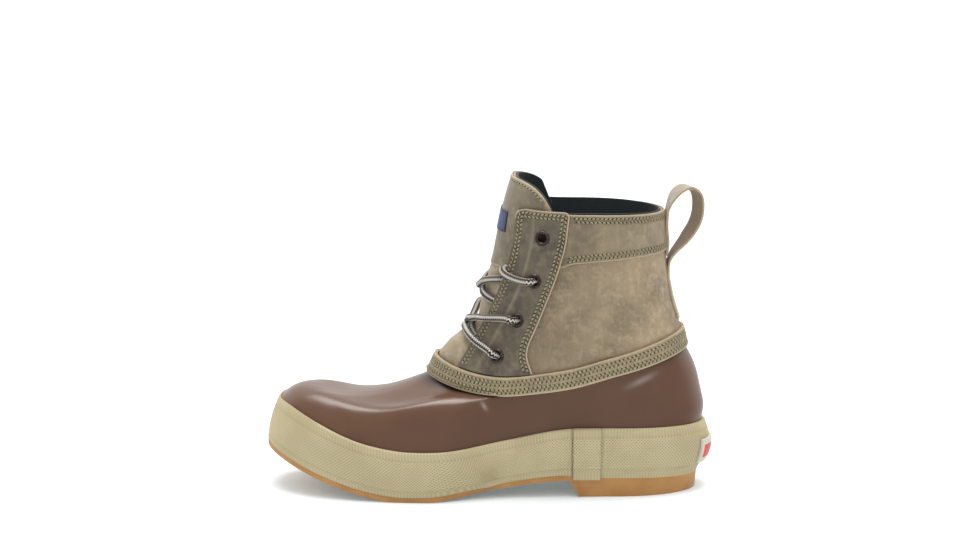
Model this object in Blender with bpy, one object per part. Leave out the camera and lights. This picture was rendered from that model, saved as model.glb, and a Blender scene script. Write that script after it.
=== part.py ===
"""Lace-up boot: rubber lower with a foxing tape and a gum sole, leather shaft with four eyelets a side.

A left boot. Metres, +Z up, the toe points to -X and the outer side of the foot to -Y.
The origin is on the floor, under the middle of the boot. Sizes below are in millimetres.
"""

import math

import bmesh
import bpy
import numpy as np

MM = 0.001
GAP = 0.3

# Last and sole line
AXIS_X = 62.0
HEEL_SEAT_Z = 15.2
BALL_Z = 3.0
WAIST_REAR_X = 56.0
BALL_X = -56.0
TOE_X = -149.2
TOE_SPRING = 28.6
SPRING_POWER = 1.68
HEEL_X = 142.0
HEEL_DROP = 1.6
HEEL_DROP_POWER = 1.5
# Height of the foxing tape along the boot: length and height
FOXING_HEIGHTS = ((-146.0, 32.4), (-132.0, 35.4), (-80.0, 32.2), (5.0, 29.2), (62.0, 32.6), (145.0, 33.2))

# Stations along a level, as shares of its length from the heel
WAIST_AT = 0.46
OUTER_BALL_AT = 0.63
INNER_BALL_AT = 0.71
HEEL_ROUND = 2.1
LOW_POWER_BACK = 1.5
LOW_POWER_FRONT = 2.0

# A row for each level of the upper's skin, from the sole line to above the collar.
# Heights of the first two rows follow the sole line, so their height columns are unused.
COLUMNS = (
    "back_x front_x tip_y heel_at outer_heel outer_waist outer_ball inner_heel inner_waist inner_ball "
    "front_round back_z low_z low_at front_z"
).split()
LEVEL_ROWS = {
    "feather": (140.4, -149.8, 5.0, 0.20, 34.0, 36.5, 50.6, 34.0, 30.5, 47.2, 2.3, 0, 0, 0, 0),
    "foxing_top": (144.6, -141.6, 4.5, 0.20, 35.0, 38.0, 51.8, 35.0, 32.5, 48.4, 2.3, 0, 0, 0, 0),
    "band_low": (133.0, -41.0, 2.5, 0.27, 36.5, 42.0, 40.0, 36.0, 39.5, 39.0, 2.0, 98.0, 70.0, 0.74, 78.0),
    "band_high": (129.6, -35.0, 2.0, 0.30, 36.5, 41.0, 38.5, 36.0, 39.0, 37.5, 2.0, 111.5, 82.7, 0.74, 91.5),
    "instep": (123.3, -13.5, 1.0, 0.36, 37.0, 39.5, 38.0, 36.5, 38.5, 37.5, 2.0, 132.0, 113.0, 0.70, 120.5),
    "ankle": (119.8, -4.0, 0.0, 0.40, 37.5, 38.5, 37.5, 37.0, 38.0, 37.0, 2.0, 153.0, 148.0, 0.60, 151.0),
    "collar": (116.0, 5.2, 0.0, 0.42, 38.0, 38.5, 37.5, 37.5, 38.0, 37.5, 2.0, 191.0, 192.5, 0.50, 196.0),
    "tongue_top": (113.0, 11.8, 0.0, 0.42, 37.0, 37.5, 36.5, 36.5, 37.0, 36.5, 2.0, 213.0, 214.0, 0.50, 218.0),
}
LEVELS = {name: dict(zip(COLUMNS, row)) for name, row in LEVEL_ROWS.items()}
FOXING_TOP, BAND_LOW, BAND_HIGH, COLLAR, TONGUE_TOP = 1.0, 2.0, 3.0, 6.0, 7.0

# Swell of the heel below and above the foxing top, and the turn from the heel at which it ends
HEEL_SWELL, UPPER_HEEL_SWELL, HEEL_SWELL_TURN = 3.9, 1.7, 1.0

# Handles of the vamp at the toe, at its fullest beside the ball, and along the sides. Each row holds, for the
# foxing end and then the band end: share of the reach, of the rise, and of the length
TOE_HANDLES = (0.315, 0.5, 0.132, 0.697, 0.684, 0.181)
FULL_HANDLES = (0.115, 0.773, 0.164, 0.625, 0.02, 0.02)
SIDE_HANDLES = (0.13, 0.50, 0.175, 0.43, 0.20, 0.17)
FULL_AT, FULL_WIDTH = 0.438, 0.206
TOE_FROM, INNER_TOE_FROM, TOE_RUN = 0.255, 0.435, 0.4

# Walls and overlays
RUBBER_WALL = 2.2
SHAFT_WALL = 2.4
BAND_THICK = 2.2
STAY_THICK = 1.6
STAY_GAP = 0.45
COLLAR_THICK = 1.3
TONGUE_THICK = 3.4
TONGUE_GAP = 1.2
TONGUE_FOOT_RISE = 2.25
TONGUE_BULGE_TURN = 0.42
# Half angles of the tongue at its foot, low, high and top, and its height above the collar with round corners
TONGUE_HALF = (0.62, 0.78, 1.05, 1.10)
TONGUE_ABOVE, TONGUE_ROUND, TONGUE_ROUND_POWER = 0.82, 0.95, 3.6
# How far the tongue stands out along its middle: rise and distance, with hollows under the crossings
TONGUE_LINE = ((2.25, 0.0), (2.55, 0.0), (3.15, 3.2), (3.4, 2.0), (3.58, 0.0), (3.75, -2.4), (3.9, -4.4),
               (4.3, -2.6), (4.63, -3.4), (4.83, -1.4), (5.0, -0.6), (5.2, -1.6), (7.0, -2.0))
FOXING_EDGE = 2.3
FOXING_SWELL = 1.2
FOXING_FOOT, FOXING_HEEL_FOOT = 0.015, 0.06
LAP_THICK = 1.7
PATCH_THICK = 1.8
PATCH_TURN = 0.21
PATCH_RISES = (0.2, 0.66)

# Outsole and insole
SOLE_EDGE = 2.0
SOLE_THICK = 3.3
BREAST_TOP_X, BREAST_FOOT_X = 50.0, 61.0
HEEL_TAPER = 1.2
HEEL_UNDERCUT = 0.0
INSOLE_THICK = 4.0

# Edges on the shaft: front edge of the eyestays, and the line of their rear edge
STAY_TOP_X, STAY_SWEEP, STAY_POWER = 18.5, 39.5, 1.8
STAY_TOP_Z, STAY_DROP = 193.0, 106.0
STAY_REAR = ((85.0, 29.5), (93.5, 25.5), (102.0, 25.0), (113.0, 30.0), (132.0, 37.5), (152.0, 45.0),
             (171.0, 50.5), (196.0, 53.5))
COLLAR_BAND_FRONT_Z, COLLAR_BAND_BACK_Z = 159.5, 164.5
COLLAR_FOOT_RISE, COLLAR_MARGIN = 5.3, 0.02

# Eyelets on each side, lowest first, as length and height of their centres
EYELETS = ((5.8, 96.6), (18.9, 121.4), (29.9, 148.2), (35.4, 177.0))
HOLE_RADIUS = 2.9
BARREL_OUTER, BARREL_INNER = 2.6, 2.0
FLANGE_RADIUS, FLANGE_THICK = 4.7, 0.8
WASHER_RADIUS = 4.0
ROUND_SIDES = 12

# Lace
LACE_RADIUS = 2.3
LACE_SIDES = 8
# Its stops on the outer side: angle from the middle of the foot, rise, distance out of the skin
BAR_SIDE = ((0.46, 3.56, 5.6), (0.36, 3.62, 5.0), (0.30, 3.66, 4.8), (0.215, 3.70, 2.0), (0.114, 3.725, -1.4))
BAR_CREST = (0.0, 3.73, -2.6)
LOW_OVER = ((0.57, 4.254, 5.6), (0.416, 4.16, 5.0), (0.35, 4.11, 4.7), (0.256, 4.05, 2.3), (0.134, 3.96, -0.8))
LOW_CREST = (0.0, 3.90, -2.0)
LOW_UNDER = ((0.045, 3.885, -1.7), (0.09, 3.87, -1.6))
HIGH_OVER = ((0.06, 4.703, -0.2), (0.146, 4.80, -0.6), (0.25, 4.87, -0.9), (0.34, 4.91, -0.9))
HIGH_CREST = (0.0, 4.65, 0.0)
HIGH_UNDER = ((0.085, 4.616, -0.2), (0.177, 4.557, -0.8), (0.26, 4.51, -1.2))
TAIL = ((0.729, 4.99, 5.6), (0.635, 5.01, 5.3), (0.54, 5.05, 4.9), (0.45, 5.11, 3.9))
# On the inner side the lace lies closer to the tongue and lower: by how much, at which angle, and how wide
BAR_HUG, LOW_HUG, HIGH_HUG = (2.6, 0.0), (2.8, 0.16), (0.8, 0.08)
HUG_AT, HUG_WIDTH = 0.2, 0.09

# Pull loop, a strap along the back seam
STRAP_WIDTH, STRAP_THICK = 18.0, 2.2
STRAP_TWIST = math.radians(12.0)
STRAP_FOOT_Z = 117.0
STRAP_LOOP = ((124.6, 158.5), (135.6, 171.0), (142.8, 182.8), (144.6, 194.0), (142.6, 203.0), (134.8, 208.2),
              (124.6, 203.6), (120.2, 194.0), (121.0, 180.0), (122.4, 164.0))

# Facets
RING_COUNT = 64
HEEL_ROWS = np.linspace(0.0, 1.0, 4)
DENSE = 720


# Small helpers for numbers and meshes

def smooth(share):
    """Ease from 0 to 1 with level ends."""
    share = np.clip(share, 0.0, 1.0)
    return share * share * (3.0 - 2.0 * share)


def mesh_object(name, points, faces, material):
    """A smooth-shaded object from points in millimetres, with its faces turned outwards."""
    mesh = bpy.data.meshes.new(name)
    mesh.from_pydata([tuple(p) for p in np.asarray(points, float) * MM], [], faces)
    work = bmesh.new()
    work.from_mesh(mesh)
    bmesh.ops.recalc_face_normals(work, faces=work.faces)
    work.to_mesh(mesh)
    work.free()
    mesh.materials.append(material)
    mesh.shade_smooth()
    mesh.set_sharp_from_angle(angle=math.radians(40))
    thing = bpy.data.objects.new(name, mesh)
    bpy.context.scene.collection.objects.link(thing)
    return thing


def finish(name, colour, roughness, metallic=0.0):
    """A material with one colour."""
    material = bpy.data.materials.new(name)
    material.use_nodes = True
    shader = material.node_tree.nodes["Principled BSDF"]
    shader.inputs["Base Color"].default_value = (*colour, 1.0)
    shader.inputs["Roughness"].default_value = roughness
    shader.inputs["Metallic"].default_value = metallic
    return material


def hide_helper(thing):
    """Keeps a cutter out of the finished object."""
    thing.hide_render = True
    thing.display_type = "WIRE"


def combine(thing, other, operation):
    """A Boolean on thing with a hidden helper."""
    hide_helper(other)
    step = thing.modifiers.new(operation.lower(), "BOOLEAN")
    step.operation = operation
    step.object = other


# The skin of the upper: closed levels, joined upwards in each direction round the ankle axis

def eased_line(at, table):
    """A value from a table of places and values, eased between them."""
    places, values = (np.array(row, float) for row in zip(*table))
    step = np.clip(np.searchsorted(places, at, side="right") - 1, 0, len(places) - 2)
    share = smooth((at - places[step]) / (places[step + 1] - places[step]))
    return values[step] + (values[step + 1] - values[step]) * share


def feather_z(x):
    """Height of the sole line: heel seat falling to the back, waist, ball and toe spring."""
    waist = smooth((WAIST_REAR_X - x) / (WAIST_REAR_X - BALL_X))
    spring = np.clip((BALL_X - x) / (BALL_X - TOE_X), 0.0, None) ** SPRING_POWER
    drop = np.clip((x - WAIST_REAR_X) / (HEEL_X - WAIST_REAR_X), 0.0, None) ** HEEL_DROP_POWER
    return HEEL_SEAT_Z + (BALL_Z - HEEL_SEAT_Z) * waist + TOE_SPRING * spring - HEEL_DROP * drop


def half_width(share, heel, waist, ball, heel_at, ball_at, front_round):
    """Half width along a level, with a rounded heel and toe."""
    width = heel + (waist - heel) * smooth((share - heel_at) / (WAIST_AT - heel_at))
    width = width + (ball - waist) * smooth((share - WAIST_AT) / (ball_at - WAIST_AT))
    behind = np.clip(1.0 - share / heel_at, 0.0, 1.0)
    ahead = np.clip((share - ball_at) / (1.0 - ball_at), 0.0, 1.0)
    back_end = (1.0 - behind**HEEL_ROUND) ** (1.0 / HEEL_ROUND)
    front_end = (1.0 - ahead**front_round) ** (1.0 / front_round)
    return width * back_end * front_end


def outline(level, share, grow=0.0):
    """Length, and outer and inner side, of a level at shares of its length from the heel."""
    row = LEVELS[level]
    x = row["back_x"] + grow + (row["front_x"] - row["back_x"] - 2 * grow) * share
    middle = row["tip_y"] * smooth((share - WAIST_AT) / (1.0 - WAIST_AT))
    widths = [[row[f"{side}_{part}"] + grow for part in ("heel", "waist", "ball")] for side in ("outer", "inner")]
    outer = middle - half_width(share, *widths[0], row["heel_at"], OUTER_BALL_AT, row["front_round"])
    inner = middle + half_width(share, *widths[1], row["heel_at"], INNER_BALL_AT, row["front_round"])
    return x, outer, inner


def level_z(level, x, share):
    """Height along a level."""
    if level == "feather":
        return feather_z(x)
    if level == "foxing_top":
        return feather_z(x) + eased_line(x, FOXING_HEIGHTS)
    row = LEVELS[level]
    behind = np.clip((row["low_at"] - share) / row["low_at"], 0.0, 1.0) ** LOW_POWER_BACK
    ahead = np.clip((share - row["low_at"]) / (1.0 - row["low_at"]), 0.0, 1.0) ** LOW_POWER_FRONT
    return row["low_z"] + (row["back_z"] - row["low_z"]) * behind + (row["front_z"] - row["low_z"]) * ahead


def closed_line(level):
    """Directions round the axis and points of a level: heel, outer side, toe, inner side, heel."""
    share = 0.5 - 0.5 * np.cos(np.linspace(0.0, math.pi, DENSE))
    x, outer, inner = outline(level, share)
    z = level_z(level, x, share)
    there = np.stack([x, outer, z], axis=1)
    back = np.stack([x, inner, z], axis=1)[-2::-1]
    points = np.concatenate([there, back])
    turn = np.unwrap(np.arctan2(-points[:, 1], points[:, 0] - AXIS_X))
    return turn, points


LINES = [closed_line(level) for level in LEVELS]


def on_level(index, turn):
    """Points of a level in given directions."""
    angles, points = LINES[index]
    return np.stack([np.interp(turn, angles, points[:, k]) for k in range(3)], axis=-1)


def vamp_handles(turn):
    """The vamp's handles in given directions."""
    aside = np.abs(turn - math.pi)[..., None]
    inner = (turn > math.pi)[..., None]
    toe = 1.0 - smooth((aside - np.where(inner, INNER_TOE_FROM, TOE_FROM)) / TOE_RUN)
    full = np.where(inner, 0.0, np.exp(-(((aside - FULL_AT) / FULL_WIDTH) ** 2)))
    handles = np.array(SIDE_HANDLES) + (np.array(TOE_HANDLES) - SIDE_HANDLES) * toe
    handles = handles + (np.array(FULL_HANDLES) - handles) * full
    return [handles[..., k, None] for k in range(6)]


def vamp_profile(low, high, share, turn):
    """Points between foxing and band: steep at the foxing, then along the foot."""
    foot_in, foot_rise, foot_up, band_in, band_rise, band_down = vamp_handles(turn)
    reach = high - low
    rise = reach[..., 2:].copy()
    reach = reach * (1.0, 1.0, 0.0)
    length = np.linalg.norm(reach, axis=-1, keepdims=True)
    up = np.array((0.0, 0.0, 1.0))
    first = low + foot_in * reach + up * (foot_rise * rise + foot_up * length)
    second = high - band_in * reach - up * (band_rise * rise + band_down * length)
    rest = 1.0 - share
    return rest**3 * low + 3 * rest**2 * share * first + 3 * rest * share**2 * second + share**3 * high


def shaft_profile(before, low, high, after, share):
    """A smooth pass through four levels, between the middle two."""
    return 0.5 * (
        2 * low
        + (high - before) * share
        + (2 * before - 5 * low + 4 * high - after) * share**2
        + (3 * low - before - 3 * high + after) * share**3
    )


def heel_share(turn):
    """1 at the middle of the heel, easing to 0 where its swell ends."""
    away = np.abs((turn + math.pi) % (2 * math.pi) - math.pi)
    return 1.0 - smooth(away / HEEL_SWELL_TURN)


def skin(turn, rise):
    """Points of the upper's outer skin. Rise counts levels: 0 sole line, 1 foxing top, 2 and 3 band, 6 collar."""
    turn, rise = np.broadcast_arrays(np.mod(turn, 2 * math.pi), np.asarray(rise, float))
    levels = [on_level(index, turn) for index in range(len(LINES))]
    step = np.clip(np.floor(rise), 0, len(levels) - 2).astype(int)
    share = (rise - step)[..., None]
    points = np.zeros(turn.shape + (3,))
    for index in range(len(levels) - 1):
        here = (step == index)[..., None]
        low, high = levels[index], levels[index + 1]
        if index == int(FOXING_TOP):
            part = vamp_profile(low, high, share, turn)
        elif index >= int(BAND_HIGH):
            after = levels[min(index + 2, len(levels) - 1)]
            part = shaft_profile(levels[index - 1], low, high, after, share)
        else:
            part = low + (high - low) * share
        if index <= int(FOXING_TOP):
            size = (HEEL_SWELL, UPPER_HEEL_SWELL)[index] * heel_share(turn)
            swell = size * 4.0 * share[..., 0] * (1.0 - share[..., 0])
            part = part + np.stack([swell * np.cos(turn), -swell * np.sin(turn), np.zeros_like(swell)], axis=-1)
        points = np.where(here, part, points)
    return points


def offset_skin(turn, rise, out):
    """Points a distance outside the skin, along its normal."""
    step_turn, step_rise = 0.01, 0.02
    rise = np.asarray(rise, float)
    low, high = np.clip(rise - step_rise, 0.0, TONGUE_TOP), np.clip(rise + step_rise, 0.0, TONGUE_TOP)
    along = skin(turn + step_turn, rise) - skin(turn - step_turn, rise)
    upwards = skin(turn, high) - skin(turn, low)
    normal = np.cross(upwards, along)
    normal /= np.linalg.norm(normal, axis=-1, keepdims=True)
    return skin(turn, rise) + normal * np.asarray(out, float)[..., None]


def even_turns(level, count):
    """Directions of points spaced evenly round a level."""
    turn, points = LINES[list(LEVELS).index(level)]
    run = np.concatenate([[0.0], np.cumsum(np.linalg.norm(np.diff(points, axis=0), axis=1))])
    return np.interp(np.linspace(0.0, run[-1], count, endpoint=False), run, turn)


def rise_at(turn, z):
    """The rise above the band at which the skin reaches a height, in each direction."""
    rises = np.linspace(BAND_LOW, TONGUE_TOP, 400)
    found = []
    for direction, height in zip(*np.broadcast_arrays(np.atleast_1d(turn), np.atleast_1d(z))):
        heights = skin(np.full(rises.shape, direction), rises)[:, 2]
        found.append(np.interp(height, heights, rises))
    return np.array(found)


def turn_at(x_of_z, rise, inner):
    """The direction on one side in which the skin at some rise meets a line given as length over height."""
    turns = np.linspace(0.35 * math.pi, 0.985 * math.pi, 500)
    points = skin(2 * math.pi - turns if inner else turns, np.full(turns.shape, rise))
    ahead = x_of_z(points[:, 2]) - points[:, 0]
    found = np.interp(0.0, ahead, turns)
    return 2 * math.pi - found if inner else found


def spot_at(x, z, inner):
    """Direction and rise of the skin's point with a given length and height, on one side."""
    rises = np.linspace(BAND_LOW, COLLAR, 200)
    turns = np.array([turn_at(lambda heights: np.full_like(heights, x), rise, inner) for rise in rises])
    rise = np.interp(z, skin(turns, rises)[:, 2], rises)
    return np.interp(rise, rises, turns), rise


# Solids between two offsets of the skin

def grid_faces(rows, columns, ring):
    """Quads of a grid of points, numbered row by row."""
    last = columns if ring else columns - 1
    return [
        (r * columns + c, r * columns + (c + 1) % columns,
         (r + 1) * columns + (c + 1) % columns, (r + 1) * columns + c)
        for r in range(rows - 1) for c in range(last)
    ]


def rim_faces(line, shift):
    """Quads that join a line of points to the line behind it."""
    return [(a, b, b + shift, a + shift) for a, b in zip(line, line[1:])]


def wall(name, turns, rises, inside, outside, ring, material):
    """A closed wall over a grid of directions and rises, between two offsets of the skin."""
    turns, rises = np.broadcast_arrays(turns, rises)
    rows, columns = turns.shape
    count = rows * columns
    outer = offset_skin(turns, rises, np.broadcast_to(outside, turns.shape)).reshape(-1, 3)
    inner = offset_skin(turns, rises, np.broadcast_to(inside, turns.shape)).reshape(-1, 3)
    faces = grid_faces(rows, columns, ring)
    faces += [(a + count, d + count, c + count, b + count) for a, b, c, d in faces]
    lowest = list(range(columns))
    highest = list(range(count - columns, count))
    if ring:
        lowest.append(lowest[0])
        highest.append(highest[0])
    else:
        faces += rim_faces(list(range(0, count, columns)), count)
        faces += rim_faces(list(range(columns - 1, count, columns)), count)
    faces += rim_faces(lowest, count) + rim_faces(highest, count)
    return mesh_object(name, np.concatenate([outer, inner]), faces, material)


def plate(name, top, bottom, material):
    """A sole plate between two lists of rungs, each a length, an outer and an inner side, and a height."""
    points = []
    for x, outer, inner, z in (top, bottom):
        points += [np.stack([x, outer, z], axis=1), np.stack([x, inner, z], axis=1)]
    count = len(top[0])
    faces = []
    for base in (0, 2 * count):
        faces += [(base + k, base + k + 1, base + count + k + 1, base + count + k) for k in range(count - 1)]
    border = list(range(count)) + list(range(2 * count - 1, count - 1, -1))
    faces += rim_faces(border + border[:1], 2 * count)
    return mesh_object(name, np.concatenate(points), faces, material)


def sweep(name, path, ring, sides_up, material):
    """A closed tube: a ring of (side, up) offsets carried along a path. sides_up gives each point's two directions."""
    side, up = sides_up
    rows = [path + side * a + up * b for a, b in ring]
    points = np.stack(rows, axis=1).reshape(-1, 3)
    columns = len(ring)
    faces = grid_faces(len(path), columns, True)
    last = (len(path) - 1) * columns
    faces += [tuple(range(columns)), tuple(range(last, last + columns))]
    return mesh_object(name, points, faces, material)


def smooth_path(points, count):
    """A smooth curve through points, read at even steps."""
    points = np.asarray(points, float)
    ends = np.concatenate([[2 * points[0] - points[1]], points, [2 * points[-1] - points[-2]]])
    fine = [
        shaft_profile(ends[k], ends[k + 1], ends[k + 2], ends[k + 3], share)
        for k in range(len(points) - 1) for share in np.linspace(0.0, 1.0, 20, endpoint=False)
    ]
    fine = np.array(fine + [points[-1]])
    run = np.concatenate([[0.0], np.cumsum(np.linalg.norm(np.diff(fine, axis=0), axis=1))])
    at = np.linspace(0.0, run[-1], count)
    return np.stack([np.interp(at, run, fine[:, k]) for k in range(3)], axis=1)


def across(path, reference):
    """Two unit directions across a path, the second nearest to a reference direction."""
    along = np.gradient(path, axis=0)
    along /= np.linalg.norm(along, axis=1, keepdims=True)
    side = np.cross(along, reference)
    side /= np.linalg.norm(side, axis=1, keepdims=True)
    return side, np.cross(side, along)


# The pieces

def make_materials():
    """One material a finish, with the photographed colours."""
    return {
        "brown_rubber": finish("brown_rubber", (0.105, 0.052, 0.033), 0.28),
        "tan_rubber": finish("tan_rubber", (0.40, 0.35, 0.22), 0.62),
        "gum_rubber": finish("gum_rubber", (0.46, 0.24, 0.085), 0.55),
        "olive_leather": finish("olive_leather", (0.21, 0.175, 0.115), 0.75),
        "lining": finish("lining", (0.012, 0.017, 0.017), 0.9),
        "eyelet_metal": finish("eyelet_metal", (0.11, 0.09, 0.09), 0.3, 0.9),
        "lace_cord": finish("lace_cord", (0.30, 0.26, 0.22), 0.85),
        "patch_rubber": finish("patch_rubber", (0.62, 0.58, 0.47), 0.5),
    }


def make_lower(materials, ring):
    """The rubber lower, open under the foot and at the band."""
    rises = np.concatenate([HEEL_ROWS, [1.18, 1.42, 1.68, 1.86, 2.0, 2.5]])
    wall("rubber_lower", ring, rises[:, None], -RUBBER_WALL, 0.0, True, materials["brown_rubber"])


def foxing_out(rise):
    """How far the foxing tape stands out: thin at its edges, full in the middle."""
    return FOXING_EDGE + FOXING_SWELL * np.sin(math.pi * np.clip(rise, 0.0, 1.0))


def make_foxing(materials, ring):
    """The foxing tape round the lower, its lap on the outer side and the blank heel patch."""
    shares = HEEL_ROWS[:, None]
    foot = FOXING_FOOT + (FOXING_HEEL_FOOT - FOXING_FOOT) * heel_share(ring)
    rises = np.maximum(foot, shares)
    wall("foxing_tape", ring, rises, GAP + 0.1, foxing_out(rises), True, materials["tan_rubber"])
    lap_x = (56.0, 75.0)
    middle = np.full(25, 0.5)
    search = np.linspace(0.3, 2.4, 25)
    lap_turns = np.interp(lap_x[::-1], skin(search, middle)[::-1, 0], search[::-1])
    turns = np.linspace(lap_turns[0], lap_turns[1], 6)
    rises = np.maximum(FOXING_FOOT, shares)
    base = foxing_out(rises) + GAP
    wall("foxing_lap", turns[None, :], rises, base, base + LAP_THICK, False, materials["tan_rubber"])
    patch_turns = np.linspace(-PATCH_TURN, PATCH_TURN, 9)
    patch_rises = np.linspace(*PATCH_RISES, 4)[:, None]
    base = foxing_out(patch_rises) + GAP
    wall("heel_patch", patch_turns[None, :], patch_rises, base, base + PATCH_THICK, False,
         materials["patch_rubber"])


def sole_shares(count, breaks=()):
    """Shares along the sole from heel to toe, close together at the ends and with the given breaks."""
    shares = 0.001 + 0.998 * (0.5 - 0.5 * np.cos(np.linspace(0.0, math.pi, count)))
    for at in breaks:
        shares = shares[np.abs(shares - at) > 0.012]
    return np.sort(np.concatenate([shares, breaks]))


def make_sole(materials):
    """Gum outsole with its heel, and the insole that lies on it inside the lower."""
    back_x = LEVELS["feather"]["back_x"] + SOLE_EDGE
    length = back_x - LEVELS["feather"]["front_x"] + SOLE_EDGE
    shares = sole_shares(41, [(back_x - BREAST_FOOT_X) / length, (back_x - BREAST_TOP_X) / length])
    x, outer, inner = outline("feather", shares, SOLE_EDGE)
    top_z = feather_z(x) - GAP
    heel = x > BREAST_FOOT_X - 0.01
    bottom_z = np.where(heel, 0.0, np.maximum(0.0, top_z - SOLE_THICK))
    tight_x, tight_outer, tight_inner = outline("feather", shares, SOLE_EDGE - HEEL_TAPER)
    tight_x = BREAST_FOOT_X + (np.maximum(tight_x, BREAST_FOOT_X) - BREAST_FOOT_X) * (1.0 - HEEL_UNDERCUT)
    bottom = [np.where(heel, tight, full) for tight, full in
              ((tight_x, x), (tight_outer, outer), (tight_inner, inner))]
    plate("outsole", (x, outer, inner, top_z), (*bottom, bottom_z), materials["gum_rubber"])
    x, outer, inner = outline("feather", sole_shares(29), -(RUBBER_WALL + 1.6))
    plate("insole", (x, outer, inner, feather_z(x) + INSOLE_THICK), (x, outer, inner, feather_z(x)),
          materials["lining"])


def stay_front(z):
    """Length of the eyestays' front edge at a height."""
    drop = np.clip((STAY_TOP_Z - z) / STAY_DROP, 0.0, None)
    return STAY_TOP_X - STAY_SWEEP * drop**STAY_POWER


def stay_rear(z):
    """Length of the eyestays' rear edge at a height."""
    heights, lengths = zip(*STAY_REAR)
    return np.interp(z, heights, lengths)


def eyelet_spots():
    """Name, direction and rise of each eyelet."""
    for side, inner in (("outer", False), ("inner", True)):
        for number, (x, z) in enumerate(EYELETS, 1):
            yield f"eyelet_{side}_{number}", *spot_at(x, z, inner)


def spot_frame(turn, rise):
    """Skin point, and unit directions along, up and out of the skin."""
    base = offset_skin(np.array(turn), np.array(rise), np.array(0.0))
    out = offset_skin(np.array(turn), np.array(rise), np.array(1.0)) - base
    up = np.array((0.0, 0.0, 1.0)) - out * out[2]
    up /= np.linalg.norm(up)
    return base, np.cross(up, out), up, out


def turned(name, turn, rise, profile, material):
    """A closed ring: a profile of (radius, distance out of the skin) turned about the skin's normal."""
    base, along, up, out = spot_frame(turn, rise)
    angles = np.linspace(0.0, 2 * math.pi, ROUND_SIDES, endpoint=False)
    rows = [
        base + out * level + radius * (math.cos(a) * along + math.sin(a) * up)
        for a in angles for radius, level in profile
    ]
    columns = len(profile)
    faces = []
    for a in range(ROUND_SIDES):
        b = (a + 1) % ROUND_SIDES
        for k in range(columns):
            n = (k + 1) % columns
            faces.append((a * columns + k, b * columns + k, b * columns + n, a * columns + n))
    return mesh_object(name, rows, faces, material)


def hole_cutters(material):
    """Round cutters through stay and shaft at every eyelet, as one helper."""
    points, faces = [], []
    angles = np.linspace(0.0, 2 * math.pi, ROUND_SIDES, endpoint=False)
    for _, turn, rise in eyelet_spots():
        base, along, up, out = spot_frame(turn, rise)
        first = len(points)
        for level in (-6.0, 5.0):
            points += [base + out * level + HOLE_RADIUS * (math.cos(a) * along + math.sin(a) * up) for a in angles]
        low = list(range(first, first + ROUND_SIDES))
        high = [k + ROUND_SIDES for k in low]
        faces += [tuple(low), tuple(high)] + rim_faces(low + low[:1], ROUND_SIDES)
    return mesh_object("lace_holes", points, faces, material)


def make_shaft(materials, ring):
    """Leather shaft, open at the collar and throat, with its band, eyestays and collar band."""
    leather = materials["olive_leather"]
    wall("joining_band", ring, np.array([2.0, 2.5, 3.0])[:, None], GAP + 0.1, GAP + 0.1 + BAND_THICK, True, leather)

    rises = np.array([2.53, 3.0, 3.5, 4.0, 4.5, 5.0, 5.5, 6.0])
    front = [[turn_at(stay_front, rise, inner) for rise in rises] for inner in (False, True)]
    share = np.linspace(0.0, 1.0, 30)
    turns = [np.mod(b - 2 * math.pi + (a - b + 2 * math.pi) * share, 2 * math.pi) for a, b in zip(*front)]
    shaft = wall("shaft", np.array(turns), rises[:, None], -SHAFT_WALL, 0.0, False, leather)
    holes = hole_cutters(leather)
    combine(shaft, holes, "DIFFERENCE")

    stay_rises = np.array([3.04, 3.5, 4.0, 4.5, 5.0, 5.5, 6.0])
    rear = {}
    for side, inner in (("outer", False), ("inner", True)):
        ahead = np.array([turn_at(stay_front, rise, inner) for rise in stay_rises])
        rear[side] = np.array([turn_at(stay_rear, rise, inner) for rise in stay_rises])
        turns = ahead[:, None] + (rear[side] - ahead)[:, None] * np.linspace(0.0, 1.0, 7)
        stay = wall(f"eyestay_{side}", turns, stay_rises[:, None], STAY_GAP, STAY_GAP + STAY_THICK, False, leather)
        combine(stay, holes, "DIFFERENCE")

    share = np.linspace(0.0, 1.0, 31)
    collar_turns, collar_rises = [], []
    for level in (0.0, 0.35, 0.7, 1.0):
        edge_rise = COLLAR_FOOT_RISE + (COLLAR - COLLAR_FOOT_RISE) * level
        outer = turn_at(stay_rear, edge_rise, False) - COLLAR_MARGIN
        inner = turn_at(stay_rear, edge_rise, True) + COLLAR_MARGIN - 2 * math.pi
        turn = inner + (outer - inner) * share
        foot_z = COLLAR_BAND_BACK_Z + (COLLAR_BAND_FRONT_Z - COLLAR_BAND_BACK_Z) * smooth(np.abs(turn) / 2.2)
        low = rise_at(turn, foot_z)
        collar_turns.append(turn)
        collar_rises.append(low + (COLLAR - low) * level)
    wall("collar_band", np.array(collar_turns), np.array(collar_rises), STAY_GAP, STAY_GAP + COLLAR_THICK, False, leather)


def tongue_out(turn, rise):
    """How far the tongue's face is out of the skin."""
    middle = np.cos(0.5 * math.pi * np.clip((turn - math.pi) / TONGUE_BULGE_TURN, -1.0, 1.0)) ** 2
    return middle * eased_line(rise, TONGUE_LINE) - SHAFT_WALL - TONGUE_GAP


def make_tongue(materials):
    """The tongue: a curved tab inside the throat, full between the eyestays and round at its top."""
    share = np.linspace(-1.0, 1.0, 17)
    height = np.array([0.0, 0.1, 0.22, 0.31, 0.375, 0.5, 0.61, 0.8, 1.0])
    half = np.interp(height, (0.0, 0.3, 0.7, 1.0), TONGUE_HALF)
    turns = math.pi + half[:, None] * share[None, :]
    high = COLLAR + TONGUE_ABOVE - TONGUE_ROUND * np.abs(share) ** TONGUE_ROUND_POWER
    rises = TONGUE_FOOT_RISE + (high - TONGUE_FOOT_RISE) * height[:, None]
    outside = tongue_out(turns, rises)
    wall("tongue", turns, rises, outside - TONGUE_THICK, outside, False, materials["olive_leather"])


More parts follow.
